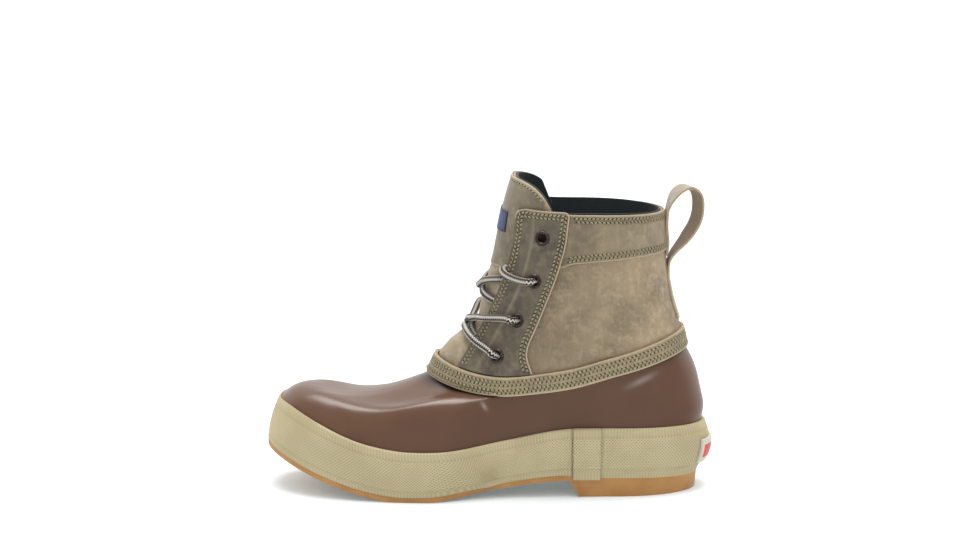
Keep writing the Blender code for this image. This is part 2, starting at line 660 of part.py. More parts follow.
def make_eyelets(materials):
    """Flanged metal eyelets through stay and shaft."""
    face = STAY_GAP + STAY_THICK + 0.55
    back = -SHAFT_WALL - 0.8
    profile = (
        (BARREL_INNER, back), (WASHER_RADIUS, back), (BARREL_OUTER, back + 0.12), (BARREL_OUTER, face),
        (FLANGE_RADIUS, face), (FLANGE_RADIUS - 0.9, face + FLANGE_THICK), (BARREL_INNER, face + 0.4),
    )
    for name, turn, rise in eyelet_spots():
        turned(name, turn, rise, profile, materials["eyelet_metal"])


def lace_ring():
    """Offsets of a round lace."""
    angles = np.linspace(0.0, 2 * math.pi, LACE_SIDES, endpoint=False)
    return [(LACE_RADIUS * math.cos(a), LACE_RADIUS * math.sin(a)) for a in angles]


def lace_run(name, stops, count, material):
    """A lace along stops of (direction, rise, distance out of the skin)."""
    turn, rise, out = np.array(stops, float).T
    path = smooth_path(offset_skin(turn, rise, out), count)
    return sweep(name, path, lace_ring(), across(path, np.array((0.0, 0.0, 1.0))), material)


def free_end(name, stops, material):
    """A loose end of the lace, as a round curve along the same kind of stops."""
    turn, rise, out = np.array(stops, float).T
    path = smooth_path(offset_skin(turn, rise, out), 8) * MM
    curve = bpy.data.curves.new(name, "CURVE")
    curve.dimensions = "3D"
    curve.bevel_depth = LACE_RADIUS * MM
    curve.bevel_resolution = 2
    curve.use_fill_caps = True
    spline = curve.splines.new("POLY")
    spline.points.add(len(path) - 1)
    for point, place in zip(spline.points, path):
        point.co = (*place, 1.0)
    curve.materials.append(material)
    bpy.context.scene.collection.objects.link(bpy.data.objects.new(name, curve))


def mirrored(stops, hug=0.0, settle=0.0):
    """The same stops on the other side of the foot, closer to the tongue and lower in rise."""
    moved = []
    for turn, rise, out in stops:
        share = math.exp(-(((math.pi - turn - HUG_AT) / HUG_WIDTH) ** 2))
        moved.append((2 * math.pi - turn, rise - settle * share, out - hug * share))
    return moved


def outer_side(stops):
    """Stops on the outer side from angles off the middle of the foot."""
    return [(math.pi - aside, rise, out) for aside, rise, out in stops]


def make_lace(materials):
    """The bar and two crossings of the lace, and its two tucked ends."""
    cord = materials["lace_cord"]
    spots = {name: (turn, rise) for name, turn, rise in eyelet_spots()}
    over_eyelet = STAY_GAP + STAY_THICK + LACE_RADIUS + FLANGE_THICK + 1.5
    first, second, third = ([(*spots[f"eyelet_outer_{k}"], over_eyelet)] for k in (1, 2, 3))
    half = first + outer_side(BAR_SIDE)
    lace_run("lace_bar", half + outer_side([BAR_CREST]) + mirrored(half, *BAR_HUG)[::-1], 19, cord)
    strand = second + outer_side(LOW_OVER + (LOW_CREST,)) + mirrored(outer_side(LOW_UNDER))
    cross = lace_run("lace_cross_low", strand, 17, cord)
    combine(cross, lace_run("cross_low_other", mirrored(strand, *LOW_HUG), 17, cord), "UNION")
    strand = outer_side(HIGH_OVER[::-1] + (HIGH_CREST,)) + mirrored(outer_side(HIGH_UNDER))
    cross = lace_run("lace_cross_high", strand, 13, cord)
    combine(cross, lace_run("cross_high_other", mirrored(strand, *HIGH_HUG), 13, cord), "UNION")
    tail = third + outer_side(TAIL)
    free_end("lace_end_outer", tail, cord)
    free_end("lace_end_inner", mirrored(tail), cord)


def make_pull_loop(materials):
    """The strap sewn up the back seam, with its loop above the collar."""
    heights = np.array([STRAP_FOOT_Z, 128.0, 138.0, 147.0])
    seam = rise_at(np.zeros(4), heights)
    seam_x = offset_skin(np.zeros(4), seam, np.full(4, GAP + 0.3 + STRAP_THICK / 2))[:, 0]
    stops = [(x, 0.0, z) for x, z in zip(seam_x, heights)]
    stops += [(x, 0.0, z) for x, z in STRAP_LOOP]
    path = smooth_path(stops, 41)
    twist = STRAP_TWIST * smooth((path[:, 2] - 172.0) / 26.0)
    side = np.stack([-np.sin(twist), np.cos(twist), np.zeros(len(path))], axis=1)
    up = across(path, np.array((0.0, 1.0, 0.0)))[0]
    half_w, half_t = STRAP_WIDTH / 2, STRAP_THICK / 2
    ring = [(-half_w, -half_t), (half_w, -half_t), (half_w, half_t), (-half_w, half_t)]
    sweep("pull_loop", path, ring, (side, up), materials["olive_leather"])


def main():
    for thing in list(bpy.data.objects):
        bpy.data.objects.remove(thing)
    materials = make_materials()
    ring = even_turns("foxing_top", RING_COUNT)
    make_lower(materials, ring)
    make_foxing(materials, ring)
    make_sole(materials)
    make_shaft(materials, ring)
    make_tongue(materials)
    make_eyelets(materials)
    make_lace(materials)
    make_pull_loop(materials)


main()
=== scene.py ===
"""Looks of a lace-up boot: rubber lower, khaki foxing tape, gum sole, olive leather shaft and a braided lace.

Sizes are in millimetres on the boot's own last. Points become metres where a mesh is made.
"""

import math

import bpy
import numpy as np
from mathutils import Matrix, Vector


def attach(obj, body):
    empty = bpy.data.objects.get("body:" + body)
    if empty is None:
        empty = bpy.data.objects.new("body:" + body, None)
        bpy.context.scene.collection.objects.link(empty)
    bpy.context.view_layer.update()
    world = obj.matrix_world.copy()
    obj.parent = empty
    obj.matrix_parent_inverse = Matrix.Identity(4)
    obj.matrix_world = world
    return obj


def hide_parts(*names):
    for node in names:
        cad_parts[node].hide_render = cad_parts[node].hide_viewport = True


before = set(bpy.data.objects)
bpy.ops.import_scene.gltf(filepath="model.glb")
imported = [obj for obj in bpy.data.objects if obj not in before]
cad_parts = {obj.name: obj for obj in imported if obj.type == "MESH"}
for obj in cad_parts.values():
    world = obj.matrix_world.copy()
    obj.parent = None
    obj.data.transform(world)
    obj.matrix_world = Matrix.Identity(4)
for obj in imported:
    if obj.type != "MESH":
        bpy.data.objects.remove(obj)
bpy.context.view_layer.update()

MM = 0.001
FULL_TURN = 2 * math.pi
# Points nearer than this are merged
SAME_PLACE = 0.01 * MM

# Picture and camera
IMAGE_WIDTH, IMAGE_HEIGHT = 978, 550
FOCAL_PIXELS = 2405.0
SENSOR_WIDTH = 36.0
PICTURE_CENTRE = (489.25, 342.4)
CAMERA_PLACE = (0.0, -1.6, 0.439)
CAMERA_TILT = math.radians(78.0)

# Last and sole line
AXIS_X = 62.0
HEEL_SEAT_Z = 15.2
BALL_Z = 3.0
WAIST_REAR_X = 56.0
BALL_X = -56.0
TOE_X = -149.2
TOE_SPRING = 28.6
SPRING_POWER = 1.68
HEEL_X = 142.0
HEEL_DROP = 1.6
HEEL_DROP_POWER = 1.5
# Height of the foxing tape along the boot: length and height
FOXING_HEIGHTS = ((-146.0, 32.4), (-132.0, 35.4), (-80.0, 32.2), (5.0, 29.2), (62.0, 32.6), (145.0, 33.2))
WAIST_AT = 0.46
OUTER_BALL_AT = 0.63
INNER_BALL_AT = 0.71
HEEL_ROUND = 2.1
LOW_POWER_BACK = 1.5
LOW_POWER_FRONT = 2.0

# A row for each level of the upper's skin, from the sole line to above the collar
COLUMNS = (
    "back_x front_x tip_y heel_at outer_heel outer_waist outer_ball inner_heel inner_waist inner_ball "
    "front_round back_z low_z low_at front_z"
).split()
LEVEL_ROWS = {
    "feather": (140.4, -149.8, 5.0, 0.20, 34.0, 36.5, 50.6, 34.0, 30.5, 47.2, 2.3, 0, 0, 0, 0),
    "foxing_top": (144.6, -141.6, 4.5, 0.20, 35.0, 38.0, 51.8, 35.0, 32.5, 48.4, 2.3, 0, 0, 0, 0),
    "band_low": (133.0, -41.0, 2.5, 0.27, 36.5, 42.0, 40.0, 36.0, 39.5, 39.0, 2.0, 98.0, 70.0, 0.74, 78.0),
    "band_high": (129.6, -35.0, 2.0, 0.30, 36.5, 41.0, 38.5, 36.0, 39.0, 37.5, 2.0, 111.5, 82.7, 0.74, 91.5),
    "instep": (123.3, -13.5, 1.0, 0.36, 37.0, 39.5, 38.0, 36.5, 38.5, 37.5, 2.0, 132.0, 113.0, 0.70, 120.5),
    "ankle": (119.8, -4.0, 0.0, 0.40, 37.5, 38.5, 37.5, 37.0, 38.0, 37.0, 2.0, 153.0, 148.0, 0.60, 151.0),
    "collar": (116.0, 5.2, 0.0, 0.42, 38.0, 38.5, 37.5, 37.5, 38.0, 37.5, 2.0, 191.0, 192.5, 0.50, 196.0),
    "tongue_top": (113.0, 11.8, 0.0, 0.42, 37.0, 37.5, 36.5, 36.5, 37.0, 36.5, 2.0, 213.0, 214.0, 0.5, 218.0),
}
LEVELS = {name: dict(zip(COLUMNS, row)) for name, row in LEVEL_ROWS.items()}
FOXING_TOP, BAND_LOW, BAND_HIGH, COLLAR, TONGUE_TOP = 1.0, 2.0, 3.0, 6.0, 7.0
HEEL_SWELL, UPPER_HEEL_SWELL, HEEL_SWELL_TURN = 3.9, 1.7, 1.0
# Handles of the vamp at the toe, at its fullest beside the ball, and along the sides. Each row holds, for the
# foxing end and then the band end: share of the reach, of the rise, and of the length
TOE_HANDLES = (0.315, 0.5, 0.132, 0.697, 0.684, 0.181)
FULL_HANDLES = (0.115, 0.773, 0.164, 0.625, 0.02, 0.02)
SIDE_HANDLES = (0.13, 0.50, 0.175, 0.43, 0.20, 0.17)
FULL_AT, FULL_WIDTH = 0.438, 0.206
TOE_FROM, INNER_TOE_FROM, TOE_RUN = 0.255, 0.435, 0.4

# Walls and overlays
GAP = 0.3
RUBBER_WALL = 2.2
SHAFT_WALL = 2.4
BAND_THICK = 2.2
STAY_GAP, STAY_THICK = 0.45, 1.6
COLLAR_THICK = 1.3
TONGUE_THICK, TONGUE_GAP = 3.4, 1.2
TONGUE_FOOT_RISE = 2.25
TONGUE_BULGE_TURN = 0.42
# Half angles of the tongue at its foot, low, high and top, and its height above the collar with round corners
TONGUE_HALF = (0.62, 0.78, 1.05, 1.10)
TONGUE_ABOVE, TONGUE_ROUND, INNER_TONGUE_ROUND, TONGUE_ROUND_POWER = 0.82, 0.95, 0.62, 3.6
# How far the tongue stands out along its middle: rise and distance, with hollows under the crossings
TONGUE_LINE = ((2.25, 0.0), (2.55, 0.0), (3.15, 3.2), (3.4, 3.0), (3.58, 1.4), (3.75, -1.6), (3.9, -3.6),
               (4.3, -0.6), (4.44, -0.8), (4.63, -1.6), (4.83, -0.8), (5.0, -0.6), (5.2, -1.6), (7.0, -2.0))
FOXING_EDGE, FOXING_SWELL = 2.3, 1.2
# The tape's foot, lower along the heel and lowest at its back
FOXING_FOOT, HEEL_SIDE_LOWER, HEEL_BACK_LOWER = -0.01, 0.06, 0.03
LAP_FRONT_X, LAP_BACK_X, LAP_THICK = 56.0, 75.0, 1.7
PATCH_THICK, PATCH_TURN, PATCH_RISES = 1.8, 0.21, (0.2, 0.66)
SOLE_EDGE, SOLE_THICK = 2.0, 3.3
BREAST_TOP_X, BREAST_FOOT_X = 53.5, 61.0
HEEL_TAPER = 1.2
INSOLE_THICK = 4.0
STAY_TOP_X, STAY_SWEEP, STAY_POWER = 18.5, 39.5, 1.8
STAY_TOP_Z, STAY_DROP = 193.0, 106.0
STAY_REAR = ((85.0, 29.5), (93.5, 25.5), (102.0, 25.0), (113.0, 30.0), (132.0, 37.5), (152.0, 45.0),
             (171.0, 50.5), (196.0, 53.5))
# Height over which the corners of the rear edge are eased
STAY_EASE = 5.0
COLLAR_FRONT_Z, COLLAR_BACK_Z = 159.5, 164.5
COLLAR_FOOT_RISE, COLLAR_MARGIN = 5.3, 0.03
EYELETS = ((5.8, 96.6), (18.9, 121.4), (29.9, 148.2), (35.4, 177.0))
LACE_RADIUS = 2.3
STRAP_WIDTH, STRAP_THICK, STRAP_FOOT_Z = 18.0, 1.6, 117.0
STRAP_TWIST = math.radians(19.0)
STRAP_LOOP = ((122.3, 158.5), (131.9, 171.0), (138.7, 182.8), (140.4, 194.0), (138.5, 202.2), (132.6, 206.0),
              (125.2, 201.6), (121.0, 193.0), (119.9, 180.0), (120.8, 168.0), (119.9, 160.0))
# Radius of the boot's back, round which the strap bends where it lies on it
BACK_RADIUS = 37.0
# Points along half of a level, and the directions in which a side is searched
DENSE = 720
SIDE_SPAN = (0.35 * math.pi, 0.985 * math.pi)


# The last's skin: closed levels, joined upwards in each direction round the ankle axis

def smooth(share):
    """Ease from 0 to 1 with level ends."""
    share = np.clip(share, 0.0, 1.0)
    return share * share * (3.0 - 2.0 * share)


def hump(distance, width):
    """A soft hump: 1 at no distance, nearly 0 at twice the width."""
    return np.exp(-(np.asarray(distance) / width) ** 2)


def eased_line(at, table):
    """A value from a table of places and values, eased between them."""
    places, values = (np.array(row, float) for row in zip(*table))
    step = np.clip(np.searchsorted(places, at, side="right") - 1, 0, len(places) - 2)
    share = smooth((at - places[step]) / (places[step + 1] - places[step]))
    return values[step] + (values[step + 1] - values[step]) * share


def feather_z(x):
    """Height of the sole line: heel seat falling to the back, waist, ball and toe spring."""
    waist = smooth((WAIST_REAR_X - x) / (WAIST_REAR_X - BALL_X))
    spring = np.clip((BALL_X - x) / (BALL_X - TOE_X), 0.0, None) ** SPRING_POWER
    drop = np.clip((x - WAIST_REAR_X) / (HEEL_X - WAIST_REAR_X), 0.0, None) ** HEEL_DROP_POWER
    return HEEL_SEAT_Z + (BALL_Z - HEEL_SEAT_Z) * waist + TOE_SPRING * spring - HEEL_DROP * drop


def half_width(share, heel, waist, ball, heel_at, ball_at, front_round):
    """Half width along a level, with a rounded heel and toe."""
    width = heel + (waist - heel) * smooth((share - heel_at) / (WAIST_AT - heel_at))
    width = width + (ball - waist) * smooth((share - WAIST_AT) / (ball_at - WAIST_AT))
    behind = np.clip(1.0 - share / heel_at, 0.0, 1.0)
    ahead = np.clip((share - ball_at) / (1.0 - ball_at), 0.0, 1.0)
    back_end = (1.0 - behind**HEEL_ROUND) ** (1.0 / HEEL_ROUND)
    front_end = (1.0 - ahead**front_round) ** (1.0 / front_round)
    return width * back_end * front_end


def outline(level, share, grow=0.0):
    """Length, and outer and inner side, of a level at shares of its length from the heel."""
    row = LEVELS[level]
    x = row["back_x"] + grow + (row["front_x"] - row["back_x"] - 2 * grow) * share
    middle = row["tip_y"] * smooth((share - WAIST_AT) / (1.0 - WAIST_AT))

    def half(side, ball_at):
        widths = (row[f"{side}_{part}"] + grow for part in ("heel", "waist", "ball"))
        return half_width(share, *widths, row["heel_at"], ball_at, row["front_round"])

    return x, middle - half("outer", OUTER_BALL_AT), middle + half("inner", INNER_BALL_AT)


def level_z(level, x, share):
    """Height along a level."""
    if level == "feather":
        return feather_z(x)
    if level == "foxing_top":
        return feather_z(x) + eased_line(x, FOXING_HEIGHTS)
    row = LEVELS[level]
    behind = np.clip((row["low_at"] - share) / row["low_at"], 0.0, 1.0) ** LOW_POWER_BACK
    ahead = np.clip((share - row["low_at"]) / (1.0 - row["low_at"]), 0.0, 1.0) ** LOW_POWER_FRONT
    return row["low_z"] + (row["back_z"] - row["low_z"]) * behind + (row["front_z"] - row["low_z"]) * ahead


def closed_line(level):
    """Directions round the axis and points of a level: heel, outer side, toe, inner side, heel."""
    share = 0.5 - 0.5 * np.cos(np.linspace(0.0, math.pi, DENSE))
    x, outer, inner = outline(level, share)
    z = level_z(level, x, share)
    there = np.stack([x, outer, z], axis=1)
    back = np.stack([x, inner, z], axis=1)[-2::-1]
    points = np.concatenate([there, back])
    turn = np.unwrap(np.arctan2(-points[:, 1], points[:, 0] - AXIS_X))
    return turn, points


LINES = [closed_line(level) for level in LEVELS]


def on_level(index, turn):
    """Points of a level in given directions."""
    angles, points = LINES[index]
    return np.stack([np.interp(turn, angles, points[:, k]) for k in range(3)], axis=-1)


def vamp_handles(turn):
    """The vamp's handles in given directions."""
    aside = np.abs(turn - math.pi)[..., None]
    inner = (turn > math.pi)[..., None]
    toe = 1.0 - smooth((aside - np.where(inner, INNER_TOE_FROM, TOE_FROM)) / TOE_RUN)
    full = np.where(inner, 0.0, hump(aside - FULL_AT, FULL_WIDTH))
    handles = np.array(SIDE_HANDLES) + (np.array(TOE_HANDLES) - SIDE_HANDLES) * toe
    handles = handles + (np.array(FULL_HANDLES) - handles) * full
    return [handles[..., k, None] for k in range(6)]


def vamp_profile(low, high, share, turn):
    """Points between foxing and band: steep at the foxing, then along the foot."""
    foot_in, foot_rise, foot_up, band_in, band_rise, band_down = vamp_handles(turn)
    reach = high - low
    rise = reach[..., 2:].copy()
    reach = reach * (1.0, 1.0, 0.0)
    length = np.linalg.norm(reach, axis=-1, keepdims=True)
    up = np.array((0.0, 0.0, 1.0))
    first = low + foot_in * reach + up * (foot_rise * rise + foot_up * length)
    second = high - band_in * reach - up * (band_rise * rise + band_down * length)
    rest = 1.0 - share
    return rest**3 * low + 3 * rest**2 * share * first + 3 * rest * share**2 * second + share**3 * high


def shaft_profile(before, low, high, after, share):
    """A smooth pass through four levels, between the middle two."""
    return 0.5 * (
        2 * low
        + (high - before) * share
        + (2 * before - 5 * low + 4 * high - after) * share**2
        + (3 * low - before - 3 * high + after) * share**3
    )


def heel_share(turn):
    """1 at the middle of the heel, easing to 0 where its swell ends."""
    away = np.abs((turn + math.pi) % FULL_TURN - math.pi)
    return 1.0 - smooth(away / HEEL_SWELL_TURN)


def skin(turn, rise):
    """Points of the outer skin. Rise counts levels: 0 sole line, 1 foxing top, 2 and 3 band, 6 collar."""
    turn, rise = np.broadcast_arrays(np.mod(turn, FULL_TURN), np.asarray(rise, float))
    levels = [on_level(index, turn) for index in range(len(LINES))]
    step = np.clip(np.floor(rise), 0, len(levels) - 2).astype(int)
    share = (rise - step)[..., None]
    points = np.zeros(turn.shape + (3,))
    for index in range(len(levels) - 1):
        here = (step == index)[..., None]
        low, high = levels[index], levels[index + 1]
        if index == int(FOXING_TOP):
            part = vamp_profile(low, high, share, turn)
        elif index >= int(BAND_HIGH):
            after = levels[min(index + 2, len(levels) - 1)]
            part = shaft_profile(levels[index - 1], low, high, after, share)
        else:
            part = low + (high - low) * share
        if index <= int(FOXING_TOP):
            size = (HEEL_SWELL, UPPER_HEEL_SWELL)[index] * heel_share(turn)
            swell = size * 4.0 * np.maximum(share * (1.0 - share), 0.0)[..., 0]
            way = np.stack([np.cos(turn), -np.sin(turn), np.zeros(turn.shape)], axis=-1)
            part = part + swell[..., None] * way
        points = np.where(here, part, points)
    return points


def skin_normal(turn, rise):
    """Unit directions out of the skin."""
    step_turn, step_rise = 0.01, 0.02
    rise = np.asarray(rise, float)
    low, high = rise - step_rise, np.minimum(rise + step_rise, TONGUE_TOP)
    along = skin(turn + step_turn, rise) - skin(turn - step_turn, rise)
    upwards = skin(turn, high) - skin(turn, low)
    normal = np.cross(upwards, along)
    return normal / np.linalg.norm(normal, axis=-1, keepdims=True)


def offset_skin(turn, rise, out):
    """Points a distance outside the skin, along its normal."""
    turn, rise, out = np.broadcast_arrays(*(np.asarray(value, float) for value in (turn, rise, out)))
    return skin(turn, rise) + skin_normal(turn, rise) * out[..., None]


def run_along(line):
    """Distances along a line of points, from its start."""
    return np.concatenate([[0.0], np.cumsum(np.linalg.norm(np.diff(line, axis=0), axis=1))])


def even_turns(level, count):
    """Directions of points spaced evenly round a level."""
    turn, points = LINES[list(LEVELS).index(level)]
    run = run_along(points)
    return np.interp(np.linspace(0.0, run[-1], count, endpoint=False), run, turn)


def rise_of(turn, z):
    """The rise above the band at which the skin reaches a height, in each direction, by halving."""
    turn, z = np.broadcast_arrays(np.asarray(turn, float), np.asarray(z, float))
    low = np.full(turn.shape, BAND_LOW)
    high = np.full(turn.shape, TONGUE_TOP)
    for _ in range(22):
        middle = 0.5 * (low + high)
        below = skin(turn, middle)[..., 2] < z
        low = np.where(below, middle, low)
        high = np.where(below, high, middle)
    return 0.5 * (low + high)


def turn_at(x_of_z, rise, inner):
    """The direction on one side in which the skin at some rise meets a line given as length over height."""
    turns = np.linspace(*SIDE_SPAN, 500)
    points = skin(FULL_TURN - turns if inner else turns, np.full(turns.shape, rise))
    ahead = x_of_z(points[:, 2]) - points[:, 0]
    found = np.interp(0.0, ahead, turns)
    return FULL_TURN - found if inner else found


def spot_at(x, z, inner):
    """Direction and rise of the skin's point with a given length and height, on one side."""
    rises = np.linspace(BAND_LOW, COLLAR, 200)
    turns = np.array([turn_at(lambda heights: np.full_like(heights, x), rise, inner) for rise in rises])
    rise = np.interp(z, skin(turns, rises)[:, 2], rises)
    return np.interp(rise, rises, turns), rise


def stay_front(z):
    """Length of the eyestays' front edge at a height."""
    drop = np.clip((STAY_TOP_Z - z) / STAY_DROP, 0.0, None)
    return STAY_TOP_X - STAY_SWEEP * drop**STAY_POWER


def stay_rear(z):
    """Length of the eyestays' rear edge at a height, with its corners eased."""
    heights, lengths = zip(*STAY_REAR)
    steps = np.linspace(-STAY_EASE, STAY_EASE, 11)
    return np.mean([np.interp(z + step, heights, lengths) for step in steps], axis=0)


def tongue_out(turn, rise):
    """How far the tongue's face is out of the skin."""
    middle = np.cos(0.5 * math.pi * np.clip((turn - math.pi) / TONGUE_BULGE_TURN, -1.0, 1.0)) ** 2
    return middle * eased_line(rise, TONGUE_LINE) - SHAFT_WALL - TONGUE_GAP


def foxing_out(rise):
    """How far the foxing tape stands out: thin at its edges, full in the middle."""
    return FOXING_EDGE + FOXING_SWELL * np.sin(math.pi * np.clip(rise, 0.0, 1.0))


def smooth_path(points, count):
    """A smooth curve through points, read at even steps."""
    points = np.asarray(points, float)
    ends = np.concatenate([[2 * points[0] - points[1]], points, [2 * points[-1] - points[-2]]])
    fine = [
        shaft_profile(ends[k], ends[k + 1], ends[k + 2], ends[k + 3], share)
        for k in range(len(points) - 1) for share in np.linspace(0.0, 1.0, 20, endpoint=False)
    ]
    return even_steps(np.array(fine + [points[-1]]), count)


def even_steps(line, count):
    """Points at even steps along a line."""
    run = run_along(line)
    at = np.linspace(0.0, run[-1], count)
    return np.stack([np.interp(at, run, line[:, k]) for k in range(line.shape[1])], axis=1)


def distance_to(points, line):
    """Distance of each point to the nearest point of a dense line."""
    flat = points.reshape(-1, 3)
    nearest = np.full(len(flat), np.inf)
    for start in range(0, len(line), 50):
        away = np.linalg.norm(flat[:, None, :] - line[None, start:start + 50, :], axis=2)
        nearest = np.minimum(nearest, away.min(axis=1))
    return nearest.reshape(points.shape[:-1])


def inset_line(turns, rises, inset):
    """A line on the skin, moved sideways on it to the left of its run by a distance."""
    points = skin(turns, rises)
    along = np.gradient(points, axis=0)
    along /= np.linalg.norm(along, axis=1, keepdims=True)
    aside = np.cross(skin_normal(turns, rises), along)
    moved = points + aside * inset
    turn = np.mod(np.arctan2(-moved[:, 1], moved[:, 0] - AXIS_X), FULL_TURN)
    return turn, rise_of(turn, moved[:, 2])


# Mesh making

def only(piece):
    """Selects one piece and makes it the active one."""
    bpy.ops.object.select_all(action="DESELECT")
    piece.select_set(True)
    bpy.context.view_layer.objects.active = piece


def apply(piece, kind, **settings):
    """Adds a modifier, sets it and applies it."""
    only(piece)
    step = piece.modifiers.new(kind.lower(), kind)
    for key, value in settings.items():
        setattr(step, key, value)
    bpy.ops.object.modifier_apply(modifier=step.name)


def edit(piece, *jobs):
    """Runs edit-mode operators, each with its settings, on the whole of a piece."""
    only(piece)
    bpy.ops.object.mode_set(mode="EDIT")
    bpy.ops.mesh.select_all(action="SELECT")
    for job, settings in jobs:
        job(**settings)
    bpy.ops.object.mode_set(mode="OBJECT")


def soften(piece, angle=40.0):
    """Smooth shading, with sharp edges kept."""
    only(piece)
    bpy.ops.object.shade_smooth_by_angle(angle=math.radians(angle))


def keep_value(piece, name, values):
    """Stores a value for each point, which a material reads."""
    store = piece.data.attributes.new(name, "FLOAT", "POINT")
    store.data.foreach_set("value", np.asarray(values, np.float32).ravel())


def added(adder, **settings):
    """Runs an operator that adds an object, and returns the object."""
    bpy.ops.object.select_all(action="DESELECT")
    adder(**settings)
    return bpy.context.object


def standing(place, normal):
    """A matrix that stands a shape on a point in millimetres, its own +Z along a direction."""
    turned = Vector(normal).to_track_quat("Z", "Y").to_matrix().to_4x4()
    return Matrix.Translation(Vector(place * MM)) @ turned


def ring_faces(rows, columns, base=0):
    """Faces between rows of points that are closed rings."""
    faces = []
    for row in range(rows - 1):
        near = base + row * columns
        far = near + columns
        for column in range(columns):
            after = (column + 1) % columns
            faces.append((near + column, near + after, far + after, far + column))
    return faces


def lay_grid(name, points, finishes, values=None, flip=True, ring=False):
    """A grid primitive with its points put in place, row by row."""
    rows, columns = points.shape[:2]
    piece = added(bpy.ops.mesh.primitive_grid_add, size=1.0, x_subdivisions=columns - 1,
                  y_subdivisions=rows - 1)
    piece.name = name
    piece.data.name = name
    piece.data.vertices.foreach_set("co", (points * MM).astype(np.float32).ravel())
    for key, value in (values or {}).items():
        keep_value(piece, key, value)
    for finish in finishes:
        piece.data.materials.append(finish)
    jobs = []
    if ring:
        jobs.append((bpy.ops.mesh.remove_doubles, {"threshold": SAME_PLACE}))
    if flip:
        jobs.append((bpy.ops.mesh.flip_normals, {}))
    if jobs:
        edit(piece, *jobs)
    return piece


def sheet(name, points, thick, finishes, values=None, flip=True, ring=False, edge=0.35):
    """A sheet of a thickness behind its laid points: outer face, back and cut rim take the three finishes."""
    piece = lay_grid(name, points, finishes, values, flip, ring)
    apply(piece, "SOLIDIFY", thickness=thick * MM, offset=-1.0, use_quality_normals=True,
          material_offset=1, material_offset_rim=2)
    if edge:
        apply(piece, "BEVEL", width=edge * MM, segments=2, limit_method="ANGLE",
              angle_limit=math.radians(55.0))
    soften(piece, 50.0)
    return piece


def from_arrays(name, points, faces, finishes, face_finish=None):
    """A mesh from arrays of points and faces, for what repeats hundreds of times."""
    mesh = bpy.data.meshes.new(name)
    mesh.from_pydata((np.asarray(points) * MM).tolist(), [], faces)
    for finish in finishes:
        mesh.materials.append(finish)
    if face_finish is not None:
        mesh.polygons.foreach_set("material_index", np.asarray(face_finish, np.int32))
    mesh.update()
    piece = bpy.data.objects.new(name, mesh)
    bpy.context.scene.collection.objects.link(piece)
    return piece


def belongs(piece, slot, *nodes):
    """The piece rides on the boot and stands for CAD nodes, which it hides. The slot is not used."""
    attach(piece, "root")
    if nodes:
        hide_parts(*nodes)
    return piece


# Finishes

class Tone:
    """A socket of a material's nodes. Sums on it add Math nodes."""

    def __init__(self, tree, socket=None):
        self.tree = tree
        self.socket = socket

    def put(self, socket, value):
        """Links a tone to a socket, or sets the socket's value."""
        if isinstance(value, Tone):
            self.tree.links.new(value.socket, socket)
        elif isinstance(value, tuple) and len(value) == 3 and socket.type == "RGBA":
            socket.default_value = (*value, 1.0)
        else:
            socket.default_value = value

    def node(self, kind, settings=None, values=None, out=0):
        """Adds a node: its settings, then its sockets by name or place. Returns one of its outputs."""
        made = self.tree.nodes.new("ShaderNode" + kind)
        for key, value in (settings or {}).items():
            setattr(made, key, value)
        for key, value in (values or {}).items():
            if isinstance(key, int):
                socket = made.inputs[key]
            else:
                socket = next(s for s in made.inputs if s.enabled and s.name == key)
            self.put(socket, value)
        if isinstance(out, int):
            return Tone(self.tree, made.outputs[out])
        return Tone(self.tree, next(s for s in made.outputs if s.enabled and s.name == out))

    def sum(self, operation, *others):
        """A Math node on this tone and others."""
        return self.node("Math", {"operation": operation}, dict(enumerate((self, *others))))

    def __add__(self, other):
        return self.sum("ADD", other)

    def __sub__(self, other):
        return self.sum("SUBTRACT", other)

    def __rsub__(self, other):
        return self.node("Math", {"operation": "SUBTRACT"}, {0: other, 1: self})

    def __mul__(self, other):
        return self.sum("MULTIPLY", other)

    __radd__ = __add__
    __rmul__ = __mul__

    def part(self, axis):
        """One part of a vector."""
        return self.node("SeparateXYZ", {}, {"Vector": self}, axis)

    def ease(self, low, high):
        """0 below low, 1 above high, eased between."""
        return self.node("MapRange", {"interpolation_type": "SMOOTHSTEP"},
                         {"Value": self, "From Min": low, "From Max": high})

    def mix(self, first, second):
        """A colour between two, by this tone."""
        return self.node("Mix", {"data_type": "RGBA"}, {"Factor": self, "A": first, "B": second}, "Result")


class Finish(Tone):
    """A material, with the patterns that feed its shader. Constants sit on the shader's own sockets."""

    def __init__(self, name, **constants):
        self.material = bpy.data.materials.new(name)
        self.material.use_nodes = True
        super().__init__(self.material.node_tree)
        for key, value in constants.items():
            self.set(key.replace("_", " "), value)

    def set(self, name, value):
        """Gives a socket of the shader a tone or a value."""
        self.put(self.tree.nodes["Principled BSDF"].inputs[name], value)

    def place(self, scale=None):
        """Object coordinates, stretched by a scale if one is given."""
        place = self.node("TexCoord", out="Object")
        if scale is None:
            return place
        return self.node("Mapping", {}, {"Vector": place, "Scale": scale}, "Vector")

    def noise(self, scale, detail=3.0, rough=0.5, place=None):
        """A noise of features about 1 / scale metres wide, from 0 to 1."""
        values = {"Vector": place or self.place(), "Scale": scale, "Detail": detail, "Roughness": rough}
        return self.node("TexNoise", {}, values)

    def threads(self, **values):
        """Fine level bands, as of woven or knitted threads."""
        return self.node("TexWave", {"bands_direction": "Z"}, {"Vector": self.place(), **values}, "Fac")

    def stored(self, name):
        """A value that the mesh stores for each point."""
        return self.node("Attribute", {"attribute_name": name}, {}, "Fac")

    def relief(self, height, depth, strength):
        """A bump of a depth in millimetres."""
        values = {"Height": height, "Distance": depth * MM, "Strength": strength}
        self.set("Normal", self.node("Bump", {}, values))


